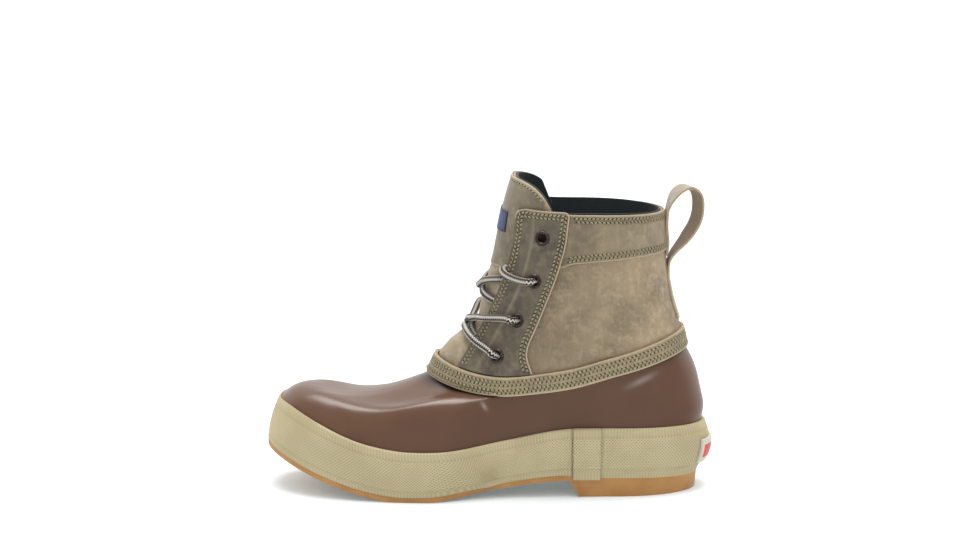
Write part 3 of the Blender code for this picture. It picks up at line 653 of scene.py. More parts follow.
def brown_rubber():
    """Glossy brown rubber, nearly even, with painted highlights and a painted shadow line under the band."""
    finish = Finish("brown_rubber", IOR=1.5)
    colour = finish.noise(22.0, 2.0).ease(0.3, 0.7).mix((0.122, 0.058, 0.032), (0.132, 0.064, 0.036))
    # Painted highlights: pale marks standing for reflections on the heel and below the band
    colour = finish.stored("painted_highlight").mix(colour, (0.42, 0.36, 0.32))
    # Painted shadow: a dark line on the rubber under the band's lower edge
    finish.set("Base Color", finish.stored("seam").mix(colour, (0.012, 0.007, 0.005)))
    finish.set("Roughness", 0.27 + 0.07 * finish.noise(60.0))
    finish.relief(finish.noise(900.0, 2.0), 0.03, 0.35)
    return finish.material


def tan_rubber():
    """Khaki rubber with painted highlights on the knurl tips, painted shade in the hollows and a painted
    shadow beside the lap.
    """
    finish = Finish("tan_rubber", IOR=1.45)
    tip = finish.stored("tip")
    cloud = finish.noise(40.0).ease(0.35, 0.65)
    # Hollow and tip colours: painted shade in the hollows, painted highlight on the tips
    low = cloud.mix((0.30, 0.238, 0.13), (0.33, 0.265, 0.147))
    high = cloud.mix((0.61, 0.515, 0.305), (0.655, 0.56, 0.335))
    # Painted shadow along the lap's edges darkens the colour
    finish.set("Base Color", finish.stored("painted_lap_shadow").mix(tip.mix(low, high), (0.10, 0.078, 0.045)))
    finish.set("Roughness", 0.66 - 0.12 * tip)
    finish.relief(finish.noise(1600.0), 0.05, 0.5)
    return finish.material


def gum_rubber():
    """Amber gum rubber."""
    finish = Finish("gum_rubber", IOR=1.45)
    cloud = finish.noise(70.0, 4.0).ease(0.3, 0.7)
    finish.set("Base Color", cloud.mix((0.43, 0.205, 0.06), (0.50, 0.25, 0.079)))
    finish.set("Roughness", 0.45 + 0.1 * cloud)
    finish.relief(finish.noise(1100.0), 0.05, 0.4)
    return finish.material


# Colours of waxed leather where an edge is rubbed, of painted shade in a groove, and in shade towards the toe
RUBBED, GROOVE_SHADE, SHADE = (0.47, 0.365, 0.24), (0.07, 0.054, 0.03), (0.03, 0.024, 0.016)
SHADE_SPAN = (0.035, 0.115)


def waxed_leather(name, base, dark, pale, cloud_scale=34.0, front=1.0):
    """Waxed leather: clouds of dark and pale wax, fine mottling, rubbed edges, painted shade in grooves and a
    short nap.

    Front is the share of its lightness that it keeps towards the toe.
    """
    finish = Finish(name, IOR=1.4, Sheen_Weight=0.12, Sheen_Roughness=0.5)
    cloud = finish.noise(cloud_scale, 5.0, 0.6).ease(0.38, 0.66)
    mottle = finish.noise(170.0, 4.0, 0.65).ease(0.42, 0.75)
    streak = finish.noise(1.0, 3.0, 0.6, finish.place((420.0, 420.0, 70.0))).ease(0.5, 0.8)
    colour = (0.6 * mottle).mix(cloud.mix(base, dark), pale)
    colour = (0.3 * streak).mix(colour, pale)
    if front < 1.0:
        behind = finish.place().part("X").ease(*SHADE_SPAN)
        colour = ((1.0 - front) * (1.0 - behind)).mix(colour, SHADE)
    # Painted shade in the stitch grooves and on the tongue's sides under the stays
    colour = finish.stored("groove").mix(colour, GROOVE_SHADE)
    finish.set("Base Color", finish.stored("rub").mix(colour, RUBBED))
    finish.set("Roughness", 0.62 + 0.2 * mottle)
    finish.relief(finish.noise(1500.0, 3.0, 0.6) + 0.6 * mottle, 0.16, 0.55)
    return finish.material


def mottled(name, noise, colours, span=(0.3, 0.7), relief=None, **constants):
    """A finish of two colours in a noise, eased over a span, with a relief of the same noise."""
    finish = Finish(name, **constants)
    pattern = finish.noise(*noise)
    finish.set("Base Color", (pattern.ease(*span) if span else pattern).mix(*colours))
    if relief:
        finish.relief(pattern, *relief)
    return finish.material


def dark_lining():
    """Dark green-black lining, a fine knit."""
    finish = Finish("dark_lining", Roughness=0.9, Sheen_Weight=0.15)
    knit = finish.threads(Scale=420.0, Distortion=1.0, Detail=1.0)
    shade = 0.5 * knit + 0.5 * finish.noise(260.0, 4.0, 0.6)
    finish.set("Base Color", shade.mix((0.013, 0.019, 0.02), (0.036, 0.05, 0.05)))
    finish.relief(knit, 0.2, 0.5)
    return finish.material


def eyelet_metal():
    """Dark bronze metal, worn brighter in places."""
    finish = Finish("eyelet_metal", Metallic=1.0)
    wear = finish.noise(500.0).ease(0.45, 0.7)
    finish.set("Base Color", wear.mix((0.11, 0.086, 0.08), (0.23, 0.185, 0.17)))
    finish.set("Roughness", 0.28 + 0.15 * wear)
    return finish.material


LACE_STRIPES, LACE_ZIGZAG = 4.0, 1.6


def lace_cord():
    """Braided cord: cream stripes with zigzag edges on near black, along its own map."""
    finish = Finish("lace_cord", Roughness=0.8, Sheen_Weight=0.2)
    spot = finish.node("UVMap", {"uv_map": "run"}, {}, "UV")
    teeth = spot.part("X").sum("PINGPONG", 0.5)
    wave = (spot.part("Y") * LACE_STRIPES + 0.9 * teeth).sum("FRACT")
    cream = wave.ease(0.0, 0.05) - wave.ease(0.36, 0.41)
    fibre = finish.noise(1400.0, 2.0)
    pale = fibre.mix((0.46, 0.40, 0.33), (0.80, 0.74, 0.64))
    deep = fibre.mix((0.008, 0.005, 0.005), (0.035, 0.025, 0.022))
    finish.set("Base Color", cream.mix(deep, pale))
    finish.relief(fibre, 0.15, 0.5)
    return finish.material


def woven_patch():
    """A plain blue woven patch with a dark hem."""
    finish = Finish("woven_patch", Roughness=0.75, Sheen_Weight=0.1)
    weave = finish.threads(Scale=700.0, Distortion=0.4)
    field = weave.mix((0.02, 0.04, 0.125), (0.05, 0.085, 0.21))
    finish.set("Base Color", finish.stored("hem").mix(field, (0.03, 0.032, 0.04)))
    finish.relief(weave, 0.12, 0.5)
    return finish.material


def patch_rubber():
    """Off-white rubber with a plain red bar."""
    finish = Finish("patch_rubber", IOR=1.45)
    bar = finish.stored("bar").ease(0.35, 0.65)
    cloud = finish.noise(200.0)
    pale = cloud.mix((0.56, 0.53, 0.43), (0.64, 0.61, 0.51))
    red = cloud.mix((0.62, 0.02, 0.025), (0.72, 0.035, 0.04))
    finish.set("Base Color", bar.mix(pale, red))
    finish.set("Roughness", 0.5 - 0.1 * bar)
    return finish.material


RUBBER = brown_rubber()
TAPE = tan_rubber()
GUM = gum_rubber()
# Waxed leathers: base, dark and pale colour, then the scale of their clouds and the lightness kept in front
WAXED = {
    "shaft": ((0.36, 0.272, 0.168), (0.235, 0.175, 0.112), (0.54, 0.425, 0.275), 42.0, 0.66),
    "tongue": ((0.215, 0.175, 0.118), (0.15, 0.122, 0.085), (0.31, 0.255, 0.17)),
    "vamp": ((0.39, 0.315, 0.205), (0.29, 0.232, 0.152), (0.50, 0.41, 0.275)),
    "collar": ((0.33, 0.255, 0.16), (0.235, 0.182, 0.118), (0.44, 0.35, 0.23), 44.0, 0.6),
    "stay": ((0.136, 0.111, 0.075), (0.09, 0.076, 0.056), (0.235, 0.195, 0.13), 50.0),
    "band": ((0.37, 0.283, 0.168), (0.265, 0.203, 0.125), (0.50, 0.40, 0.25), 60.0),
    # The strap is paler than the other leathers: partly its own colour, partly painted light for the light
    # falling on the loop
    "strap": ((0.42, 0.37, 0.29), (0.32, 0.27, 0.19), (0.58, 0.52, 0.43), 40.0),
}
LEATHER = {name: waxed_leather(name + "_leather", *look) for name, look in WAXED.items()}
# The pale fibrous cut edge of leather, and its napped brown back
CUT = mottled("cut_leather", (700.0, 4.0, 0.7), ((0.34, 0.255, 0.155), (0.5, 0.395, 0.26)),
              relief=(0.2, 0.6), Roughness=0.8)
FLESH = mottled("flesh_leather", (900.0, 5.0, 0.7), ((0.20, 0.13, 0.075), (0.34, 0.235, 0.14)),
                relief=(0.25, 0.7), Roughness=0.9, Sheen_Weight=0.3)
LINING = dark_lining()
METAL = eyelet_metal()
LACE = lace_cord()
# Khaki sewing thread, and near-black painted shade standing for the hole that a stitch goes into
THREAD = mottled("thread", (1800.0, 2.0), ((0.225, 0.194, 0.107), (0.405, 0.352, 0.205)), Roughness=0.7)
NEEDLE_HOLE_SHADE = mottled("needle_hole_shade", (900.0, 2.0), ((0.008, 0.007, 0.004), (0.02, 0.017, 0.01)), None, Roughness=1.0)
BLUE = woven_patch()
LABEL = patch_rubber()
# Grey-black cloth of the insole, and white paper under the boot
INSOLE = mottled("insole_cloth", (600.0, 4.0, 0.7), ((0.02, 0.023, 0.023), (0.05, 0.052, 0.05)),
                 relief=(0.3, 0.6), Roughness=0.95)
PAPER = mottled("studio_paper", (3.0, 2.0), ((0.90, 0.90, 0.90), (0.92, 0.92, 0.92)), None, Roughness=0.7,
                Emission_Color=(0.42, 0.82, 1.0, 1.0), Emission_Strength=0.17)


# Camera

def make_camera():
    """The camera at the photograph's angle."""
    camera = added(bpy.ops.object.camera_add, location=CAMERA_PLACE, rotation=(CAMERA_TILT, 0.0, 0.0))
    camera.name = "camera"
    camera.data.sensor_width = SENSOR_WIDTH
    camera.data.lens = SENSOR_WIDTH * FOCAL_PIXELS / IMAGE_WIDTH
    camera.data.shift_x = -(PICTURE_CENTRE[0] - IMAGE_WIDTH / 2) / IMAGE_WIDTH
    camera.data.shift_y = (PICTURE_CENTRE[1] - IMAGE_HEIGHT / 2) / IMAGE_WIDTH
    bpy.context.scene.camera = camera


make_camera()


# Lace

EYELET_SPOTS = {
    (side, number): spot_at(x, z, side == "inner")
    for side in ("outer", "inner") for number, (x, z) in enumerate(EYELETS, 1)
}
# Point and direction out of the skin at each eyelet
EYELET_FRAMES = {
    key: (skin(*map(np.array, spot)), skin_normal(*map(np.array, spot))) for key, spot in EYELET_SPOTS.items()
}
# Stops of the lace on the outer side: angle from the middle of the foot, rise, distance out of the skin
BAR_SIDE = ((0.46, 3.56, 5.6), (0.36, 3.62, 5.0), (0.30, 3.66, 4.8), (0.215, 3.70, 2.0), (0.114, 3.725, -1.4))
BAR_CREST = (0.0, 3.73, -2.6)
LOW_OVER = ((0.57, 4.254, 5.6), (0.416, 4.16, 5.0), (0.35, 4.11, 4.7), (0.256, 4.05, 2.3),
            (0.134, 3.96, -0.8))
LOW_CREST = (0.0, 3.90, -2.0)
LOW_UNDER = ((0.085, 3.84, -1.9), (0.16, 3.77, -2.6), (0.239, 3.70, -3.4), (0.294, 3.655, -4.3),
             (0.36, 3.61, -5.2), (0.46, 3.58, -5.6))
HIGH_OVER = ((0.06, 4.703, -0.2), (0.146, 4.80, -0.6), (0.273, 4.882, -1.4), (0.387, 4.927, -3.0),
             (0.47, 4.945, -4.9), (0.58, 4.96, -5.4))
HIGH_CREST = (0.0, 4.65, 0.0)
HIGH_UNDER = ((0.085, 4.616, -0.2), (0.177, 4.557, -0.8), (0.269, 4.506, -1.6), (0.37, 4.47, -3.2),
              (0.45, 4.45, -4.9), (0.55, 4.44, -5.4))
TAIL = ((0.729, 4.99, 5.6), (0.635, 5.01, 5.3), (0.54, 5.05, 4.6), (0.478, 5.09, 2.2), (0.445, 5.125, -2.2),
        (0.51, 5.14, -5.0), (0.6, 5.14, -5.6))
# Distances out of the skin through an eyelet, and just past it
THROUGH, PAST = (-3.3, -0.6, 2.2), 5.9
# On the inner side the lace lies closer to the tongue and lower: by how much, at which angle, and how wide
BAR_HUG, LOW_HUG, HIGH_HUG = (2.6, 0.0), (2.8, 0.16), (0.8, 0.08)
HUG_AT, HUG_WIDTH = 0.2, 0.09
# How far one strand goes under the other, and over which angle
UNDER_DIP, DIP_WIDTH = 3.6, 0.12
LACE_STEP, LACE_SIDES, WEAVE_DEPTH = 0.45, 20, 0.1
# Narrower inside an eyelet: share, reach round the eyelet, height and run of the easing above it
SQUEEZE, SQUEEZE_REACH, SQUEEZE_TOP, SQUEEZE_RUN = 0.12, 3.5, 2.5, 2.0
# Narrower at its ends: share at the end and the length over which it grows to full
END_SHARE, END_RUN = 0.55, 1.4


def edge(rise):
    """Direction of the outer stay's front edge at a rise."""
    return turn_at(stay_front, rise, False)


def outer_side(stops, dip=0.0):
    """Directions of stops on the outer side, those near the middle moved in by a dip where strands cross."""
    return [(math.pi - aside, rise, out - dip * float(hump(aside, DIP_WIDTH))) for aside, rise, out in stops]


def mirrored(stops, hug=0.0, settle=0.0):
    """The same stops on the other side of the foot, closer to the tongue and lower in rise."""
    moved = []
    for turn, rise, out in stops:
        share = float(hump(math.pi - turn - HUG_AT, HUG_WIDTH))
        moved.append((FULL_TURN - turn, rise - settle * share, out - hug * share))
    return moved


def from_eyelet(number, ahead, above):
    """Stops from behind the outer stay through an eyelet, and one past it, further on and higher."""
    turn, rise = EYELET_SPOTS[("outer", number)]
    return [(turn, rise, out) for out in THROUGH] + [(turn + ahead, rise + above, PAST)]


def lace_path(stops):
    """Points of a lace along stops of direction, rise and distance out of the skin."""
    places = offset_skin(*np.array(stops, float).T)
    length = run_along(smooth_path(places, 200))[-1]
    return smooth_path(places, int(length / LACE_STEP))


def carried_frames(path):
    """Two unit directions across a path, which turn about it as little as they can."""
    along = np.gradient(path, axis=0)
    along /= np.linalg.norm(along, axis=1, keepdims=True)
    side = np.cross(along[0], (0.0, 0.0, 1.0))
    sides = []
    for direction in along:
        side = side - direction * (side @ direction)
        side = side / np.linalg.norm(side)
        sides.append(side)
    return np.array(sides), np.cross(along, sides)


def squeeze(path):
    """The share of its thickness that a lace keeps along its path."""
    share = np.ones(len(path))
    for spot, normal in EYELET_FRAMES.values():
        out = (path - spot) @ normal
        aside = np.linalg.norm(path - spot - out[:, None] * normal, axis=1)
        share = share - SQUEEZE * (aside < SQUEEZE_REACH) * (1.0 - smooth((out - SQUEEZE_TOP) / SQUEEZE_RUN))
    return share


def braid(name, *paths):
    """Braided tubes along paths, with a map of run and share round for the stripes."""
    points, faces, maps = [], [], []
    angle = np.linspace(0.0, FULL_TURN, LACE_SIDES, endpoint=False)
    base = 0
    for path in paths:
        side, up = carried_frames(path)
        run = run_along(path)
        phase = FULL_TURN * run[:, None] / LACE_ZIGZAG
        weave = sum(WEAVE_DEPTH * np.cos(angle * LACE_STRIPES + way * phase) for way in (1, -1))
        ends = np.minimum(run, run[-1] - run)
        size = LACE_RADIUS * squeeze(path) * np.clip(END_SHARE + ends / END_RUN, 0.0, 1.0)
        across = np.cos(angle)[:, None] * side[:, None] + np.sin(angle)[:, None] * up[:, None]
        points.append((path[:, None] + (size[:, None] + weave)[..., None] * across).reshape(-1, 3))
        faces += ring_faces(len(path), LACE_SIDES, base)
        turns = run / LACE_ZIGZAG
        for low, high in zip(turns[:-1], turns[1:]):
            for column in range(LACE_SIDES):
                left, right = column / LACE_SIDES, (column + 1) / LACE_SIDES
                maps += [(low, left), (low, right), (high, right), (high, left)]
        for row, order in ((0, -1), (len(path) - 1, 1)):
            start = base + row * LACE_SIDES
            faces.append(tuple(range(start, start + LACE_SIDES))[::order])
            maps += [(turns[row], 0.2)] * LACE_SIDES
        base += len(points[-1])
    piece = from_arrays(name, np.concatenate(points), faces, [LACE])
    layer = piece.data.uv_layers.new(name="run")
    layer.data.foreach_set("uv", np.array(maps, np.float32).ravel())
    soften(piece, 70.0)
    return belongs(piece, "lace_cord", name)


def make_lace():
    """The bar, the two crossings and the two tucked ends, run through the eyelets."""
    half = from_eyelet(1, 0.03, 0.03) + outer_side(BAR_SIDE)
    braid("lace_bar", lace_path(half + outer_side([BAR_CREST]) + mirrored(half, *BAR_HUG)[::-1]))

    low, high = [], []
    for dip in (0.0, UNDER_DIP):
        over = from_eyelet(2, 0.04, 0.0) + outer_side(LOW_OVER + (LOW_CREST,), dip)
        low.append(over + mirrored(outer_side(LOW_UNDER, dip)))
        over = outer_side(HIGH_OVER[::-1] + (HIGH_CREST,), dip)
        high.append(over + mirrored(outer_side(HIGH_UNDER, dip)))
    braid("lace_cross_low", lace_path(low[0]), lace_path(mirrored(low[1], *LOW_HUG)))
    braid("lace_cross_high", lace_path(high[0]), lace_path(mirrored(high[1], *HIGH_HUG)))

    tail = from_eyelet(3, 0.04, -0.005) + outer_side(TAIL)
    for name, stops in (("lace_end_outer", tail), ("lace_end_inner", mirrored(tail))):
        path = lace_path(stops)
        piece = braid(name, path)


make_lace()


# Rubber lower

# Soft ridges and hollows of the lower: side, length, height, lean in degrees, half length, half width, depth
LOWER_MARKS = (
    ("outer", 98.0, 80.0, 24.0, 13.0, 2.6, 0.5),
    ("outer", -3.5, 64.0, -60.0, 4.5, 2.2, 0.45),
    ("outer", 62.0, 62.0, 40.0, 24.0, 9.0, -0.35),
    ("outer", -96.0, 50.0, -52.0, 14.0, 4.0, -0.45),
    ("inner", 90.0, 78.0, 28.0, 15.0, 5.0, 0.3),
    ("inner", -60.0, 60.0, -35.0, 18.0, 6.0, -0.35),
)
# Painted highlights of the lower, pale marks standing for reflections: a streak on the heel and a spot below
# the band, in the same order as the marks, with a strength
LOWER_PAINTED_HIGHLIGHTS = (
    ("outer", 102.0, 80.5, 25.0, 9.0, 2.2, 0.42),
    ("outer", -3.5, 64.0, -60.0, 3.0, 1.2, 0.6),
)
# Distance from the middle of the foot at which a side's marks begin
MARKS_FROM_Y = 8.0
# Fuller places of the lower: middle, half sizes and depth out
LOWER_SWELLS = (((-131.0, 3.0, 66.0), (13.0, 24.0, 14.0), 1.9), ((144.0, 0.0, 57.0), (14.0, 30.0, 9.0), 1.7))
# Half width, in rise, of the painted shadow line under the band's lower edge
BAND_SHADOW_WIDTH = 0.035
# Rows of the lower's mesh: from rise, to rise, count
LOWER_ROWS = ((0.0, 0.9, 6), (0.95, 2.02, 60), (2.1, 2.5, 4))


def marks(points, rows):
    """The sum of soft marks at points."""
    out = np.zeros(points.shape[:-1])
    x, y, z = np.moveaxis(points, -1, 0)
    for side, at_x, at_z, lean, length, width, depth in rows:
        c, s = math.cos(math.radians(lean)), math.sin(math.radians(lean))
        along = (x - at_x) * c + (z - at_z) * s
        across = (z - at_z) * c - (x - at_x) * s
        here = y < -MARKS_FROM_Y if side == "outer" else y > MARKS_FROM_Y
        out = out + here * depth * hump(along, length) * hump(across, width)
    return out


def swells(points):
    """How far the lower's fuller places stand out."""
    return sum(depth * np.exp(-(((points - middle) / sizes) ** 2).sum(axis=-1))
               for middle, sizes, depth in LOWER_SWELLS)


def make_lower():
    """The rubber lower, lined inside."""
    turns = np.append(even_turns("foxing_top", 360), FULL_TURN)[None, :]
    rises = np.concatenate([np.linspace(*span) for span in LOWER_ROWS])[:, None]
    plain = offset_skin(turns, rises, 0.0)
    points = offset_skin(turns, rises, marks(plain, LOWER_MARKS) + swells(plain))
    # The seam value is the painted shadow of the band's lower edge
    seam = np.broadcast_to(hump(rises - BAND_LOW, BAND_SHADOW_WIDTH), points.shape[:2])
    # The lower stores its painted highlights and the painted shadow under the band
    piece = sheet("rubber_lower", points, RUBBER_WALL, [RUBBER, LINING, RUBBER],
                  {"seam": seam, "painted_highlight": marks(plain, LOWER_PAINTED_HIGHLIGHTS)}, ring=True, edge=0)
    belongs(piece, "brown_rubber", "rubber_lower")


make_lower()


# Foxing tape

KNURL_PITCH, KNURL_DEPTH = 2.1, 0.62
RIB_DEPTH = 0.09
STRIP_CONTRAST = 0.3
FOOT_STRIP, TOP_STRIP, STRIP_GROOVE, STRIP_GROOVE_WIDTH = 0.14, 0.82, 0.25, 0.02
# The pattern fades towards the toe: share left there, where it starts and its run
TOE_FADE, TOE_FADE_X, TOE_FADE_RUN = 0.35, -140.0, 55.0
# Painted shadow along both edges of the lap
LAP_SHADOW_AHEAD, LAP_SHADOW_WIDTH = 0.2, 0.6
TAPE_ROWS, TAPE_BACK_STEP = 33, 13
# How far the tape's long edges are rounded off, and over which share of its height
TAPE_EDGE_DROP, TAPE_EDGE_SHARE = 0.7, 0.02
# The tape's foot is filled out at the waist of the sole: length, half length, depth and top in rise
WAIST_FILL_X, WAIST_FILL_LENGTH, WAIST_FILL, WAIST_FILL_TOP = -2.0, 11.0, 1.7, 0.9
# Where the tape's foot gets lower towards the heel, and over which length
HEEL_SIDE_X, HEEL_SIDE_RUN = 48.0, 14.0
LAP_LOWER = 0.02
# Half sizes of the red bar as shares of the heel patch, and how far it stands out
BAR_ACROSS, BAR_UP, BAR_OUT = 0.88, 0.55, 0.3


def knurl(turns, rises, parity):
    """Height of the tape's moulded pattern, and its painted light: paler towards a tip, darker in the hollows
    and grooves.
    """
    x = skin(turns, rises)[..., 0]
    strip = (rises < FOOT_STRIP) | (rises > TOP_STRIP)
    columns = np.broadcast_to(np.arange(turns.shape[1]), turns.shape)
    tip = np.where(strip, columns % 2, parity)
    fade = TOE_FADE + (1.0 - TOE_FADE) * smooth((x - TOE_FADE_X) / TOE_FADE_RUN)
    depth = np.where(strip, RIB_DEPTH, KNURL_DEPTH) * fade
    groove = STRIP_GROOVE * sum(hump(rises - at, STRIP_GROOVE_WIDTH) for at in (FOOT_STRIP, TOP_STRIP))
    contrast = np.where(strip, STRIP_CONTRAST, 1.0) * fade
    return depth * (tip - 0.5) - groove, (0.5 + (tip - 0.5) * contrast) * (1.0 - 1.2 * groove)


def waist_fill(turns, rises):
    """How far the tape's foot is filled out on the outer side, to keep its face upright at the waist."""
    x, y = np.moveaxis(skin(turns, rises), -1, 0)[:2]
    fill = WAIST_FILL * (y < 0.0) * hump(x - WAIST_FILL_X, WAIST_FILL_LENGTH)
    return fill * (1.0 - smooth(rises / WAIST_FILL_TOP))


def tape_faces(rows, columns, ring):
    """Faces of a tape: its face in triangles that follow the knurls, its edges and back in quads."""
    faces = []
    for row in range(rows):
        above = (row + 1) % rows
        for column in range(columns if ring else columns - 1):
            after = (column + 1) % columns
            a, b = row * columns + column, row * columns + after
            c, d = above * columns + after, above * columns + column
            if row >= TAPE_ROWS - 1:
                faces.append((a, d, c, b))
            elif (row + column) % 2:
                faces += [(a, d, c), (a, c, b)]
            else:
                faces += [(a, d, b), (b, d, c)]
    if not ring:
        faces.append(tuple(row * columns for row in range(rows)))
        faces.append(tuple(row * columns + columns - 1 for row in range(rows))[::-1])
    return faces


def pattern_tape(name, turns, foot, thick, back_out, ring):
    """A tape from a foot, in rise, to the foxing's top, with the pattern on its face, closed behind."""
    shares = np.linspace(0.0, 1.0, TAPE_ROWS)[:, None]
    rises = foot + (1.0 - foot) * shares
    turns = np.broadcast_to(turns, rises.shape)
    height, tip = knurl(turns, rises, np.indices(turns.shape).sum(axis=0) % 2)
    edge_drop = TAPE_EDGE_DROP * (hump(shares, TAPE_EDGE_SHARE) + hump(1.0 - shares, TAPE_EDGE_SHARE))
    out = foxing_out(rises) + thick + height - edge_drop + waist_fill(turns, rises)
    behind = slice(None, None, -TAPE_BACK_STEP)
    back = offset_skin(turns[behind], rises[behind], back_out(rises[behind]))
    points = np.concatenate([offset_skin(turns, rises, out), back])
    piece = from_arrays(name, points.reshape(-1, 3), tape_faces(*points.shape[:2], ring), [TAPE])
    # The tip value is painted light: lighter on the knurl tips, darker in hollows and grooves, even on the
    # back
    keep_value(piece, "tip", np.concatenate([tip, np.full(back.shape[:2], 0.5)]))
    x, y = points[..., 0], points[..., 1]
    # Painted shadow beside both edges of the lap, on the outer side
    painted_lap_shadow = hump(x - LAP_FRONT_X + LAP_SHADOW_AHEAD, LAP_SHADOW_WIDTH)
    painted_lap_shadow = painted_lap_shadow + 0.5 * hump(x - LAP_BACK_X - LAP_SHADOW_AHEAD, LAP_SHADOW_WIDTH)
    keep_value(piece, "painted_lap_shadow", 0.5 * (y < 0.0) * painted_lap_shadow)
    soften(piece, 75.0)
    belongs(piece, "tan_rubber", name)


def make_foxing():
    """The foxing tape round the lower and its lap on the outer side."""
    count = 2 * int(run_along(LINES[list(LEVELS).index("foxing_top")][1])[-1] / KNURL_PITCH)
    turns = even_turns("foxing_top", count)
    along = skin(turns, np.zeros(count))[:, 0]
    foot = FOXING_FOOT - HEEL_SIDE_LOWER * smooth((along - HEEL_SIDE_X) / HEEL_SIDE_RUN)
    foot = foot - HEEL_BACK_LOWER * heel_share(turns)
    pattern_tape("foxing_tape", turns, foot, 0.0, lambda rises: GAP + 0.1, True)

    search = np.linspace(0.3, 2.4, 200)
    lengths = skin(search, np.full(200, 0.5))[:, 0]
    lap_from, lap_to = np.interp((LAP_BACK_X, LAP_FRONT_X), lengths[::-1], search[::-1])
    count = 2 * int((LAP_BACK_X - LAP_FRONT_X) / KNURL_PITCH) + 1
    foot = np.full(count, FOXING_FOOT - HEEL_SIDE_LOWER - LAP_LOWER)
    pattern_tape("foxing_lap", np.linspace(lap_from, lap_to, count), foot, LAP_THICK, foxing_out, False)


def make_heel_patch():
    """The plain patch on the back of the tape, with a raised bar."""
    across, up = np.linspace(-1.0, 1.0, 41)[None, :], np.linspace(-1.0, 1.0, 25)[:, None]
    rises = np.linspace(*PATCH_RISES, 25)[:, None]
    bar = (np.abs(across) < BAR_ACROSS) & (np.abs(up) < BAR_UP)
    out = foxing_out(rises) + GAP + PATCH_THICK + BAR_OUT * bar
    points = offset_skin(np.linspace(-PATCH_TURN, PATCH_TURN, 41)[None, :], rises, out)
    piece = sheet("heel_patch", points, PATCH_THICK + 0.2, [LABEL] * 3, {"bar": bar}, edge=0.4)
    belongs(piece, "patch_rubber", "heel_patch")


make_foxing()
make_heel_patch()


# Sole

TREAD_PITCH, TREAD_DEPTH, TREAD_MARGIN, TREAD_EASE = 7.0, 1.3, 5.0, 1.5
# Teeth of the tread's zigzag grooves: height and half width; then where the tread stops at the waist
TREAD_TOOTH, TREAD_TOOTH_WIDTH, TREAD_FRONT_X, TREAD_HEEL_MARGIN = 6.0, 14.0, 22.0, 6.0
SOLE_STEPS, SOLE_COLUMNS = 5, 61
INSOLE_MARGIN, INSOLE_DISH, INSOLE_GAP = 1.6, 1.2, 0.1


def sole_shares(count, breaks=()):
    """Shares along the sole from heel to toe, close together at the ends and with the given breaks."""
    shares = 0.001 + 0.998 * (0.5 - 0.5 * np.cos(np.linspace(0.0, math.pi, count)))
    for at in breaks:
        shares = shares[np.abs(shares - at) > 0.002]
    return np.sort(np.concatenate([shares, breaks]))


def tread(x, y, outer, inner):
    """Depth of the tread's wavy grooves, which stay clear of the sole's edge."""
    margin = np.minimum(y - outer, inner - y)
    inside = smooth((margin - TREAD_MARGIN) / TREAD_EASE)
    wave = x + TREAD_TOOTH * np.abs((y / TREAD_TOOTH_WIDTH) % 2.0 - 1.0)
    groove = smooth((np.abs((wave / TREAD_PITCH) % 1.0 - 0.5) - 0.2) / 0.12)
    tread_area = (x < TREAD_FRONT_X) | (x > BREAST_FOOT_X + TREAD_HEEL_MARGIN)
    return TREAD_DEPTH * groove * inside * tread_area


def make_outsole():
    """The gum outsole with its heel and tread."""
    back_x = LEVELS["feather"]["back_x"] + SOLE_EDGE
    length = back_x - LEVELS["feather"]["front_x"] + SOLE_EDGE
    shares = sole_shares(300, [(back_x - BREAST_FOOT_X) / length, (back_x - BREAST_TOP_X) / length])
    x, outer, inner = outline("feather", shares, SOLE_EDGE)
    top_z = feather_z(x) - GAP
    breast = np.clip((BREAST_FOOT_X - x) / (BREAST_FOOT_X - BREAST_TOP_X), 0.0, 1.0)
    low_z = np.maximum(0.0, top_z - SOLE_THICK) * breast
    heel_x, heel_outer, heel_inner = outline("feather", shares, SOLE_EDGE - HEEL_TAPER)
    heel = x > BREAST_FOOT_X - 0.01
    low_x = np.where(heel, np.maximum(heel_x, BREAST_FOOT_X), x)
    low_outer = np.where(heel, heel_outer, outer)
    low_inner = np.where(heel, heel_inner, inner)

    top, low = np.stack([x, outer, inner, top_z]), np.stack([low_x, low_outer, low_inner, low_z])
    points = []
    for step in np.linspace(0.0, 1.0, SOLE_STEPS):
        side_x, side_outer, side_inner, z = top + (low - top) * step
        points += [np.stack([side_x, side_outer, z], axis=1), np.stack([side_x, side_inner, z], axis=1)[::-1]]
    count, size = len(shares), 2 * len(shares)
    faces = ring_faces(SOLE_STEPS, size)
    faces += [(k, size - 1 - k, size - 2 - k, k + 1) for k in range(count - 1)]

    y = low_outer[:, None] + (low_inner - low_outer)[:, None] * np.linspace(0.0, 1.0, SOLE_COLUMNS)[1:-1]
    under_x = np.broadcast_to(low_x[:, None], y.shape)
    z = low_z[:, None] + tread(under_x, y, low_outer[:, None], low_inner[:, None])
    points.append(np.stack([under_x, y, z], axis=-1).reshape(-1, 3))
    rim = (SOLE_STEPS - 1) * size + np.arange(count)[:, None]
    middle = SOLE_STEPS * size + np.arange(y.size).reshape(y.shape)
    order = np.concatenate([rim, middle, rim[-1] + count - np.arange(count)[:, None]], axis=1)
    corners = (order[:-1, :-1], order[1:, :-1], order[1:, 1:], order[:-1, 1:])
    faces += np.stack(corners, axis=-1).reshape(-1, 4).tolist()
    piece = from_arrays("outsole", np.concatenate(points), faces, [GUM])
    edit(piece, (bpy.ops.mesh.normals_make_consistent, {"inside": False}))
    soften(piece, 35.0)
    belongs(piece, "gum_rubber", "outsole")


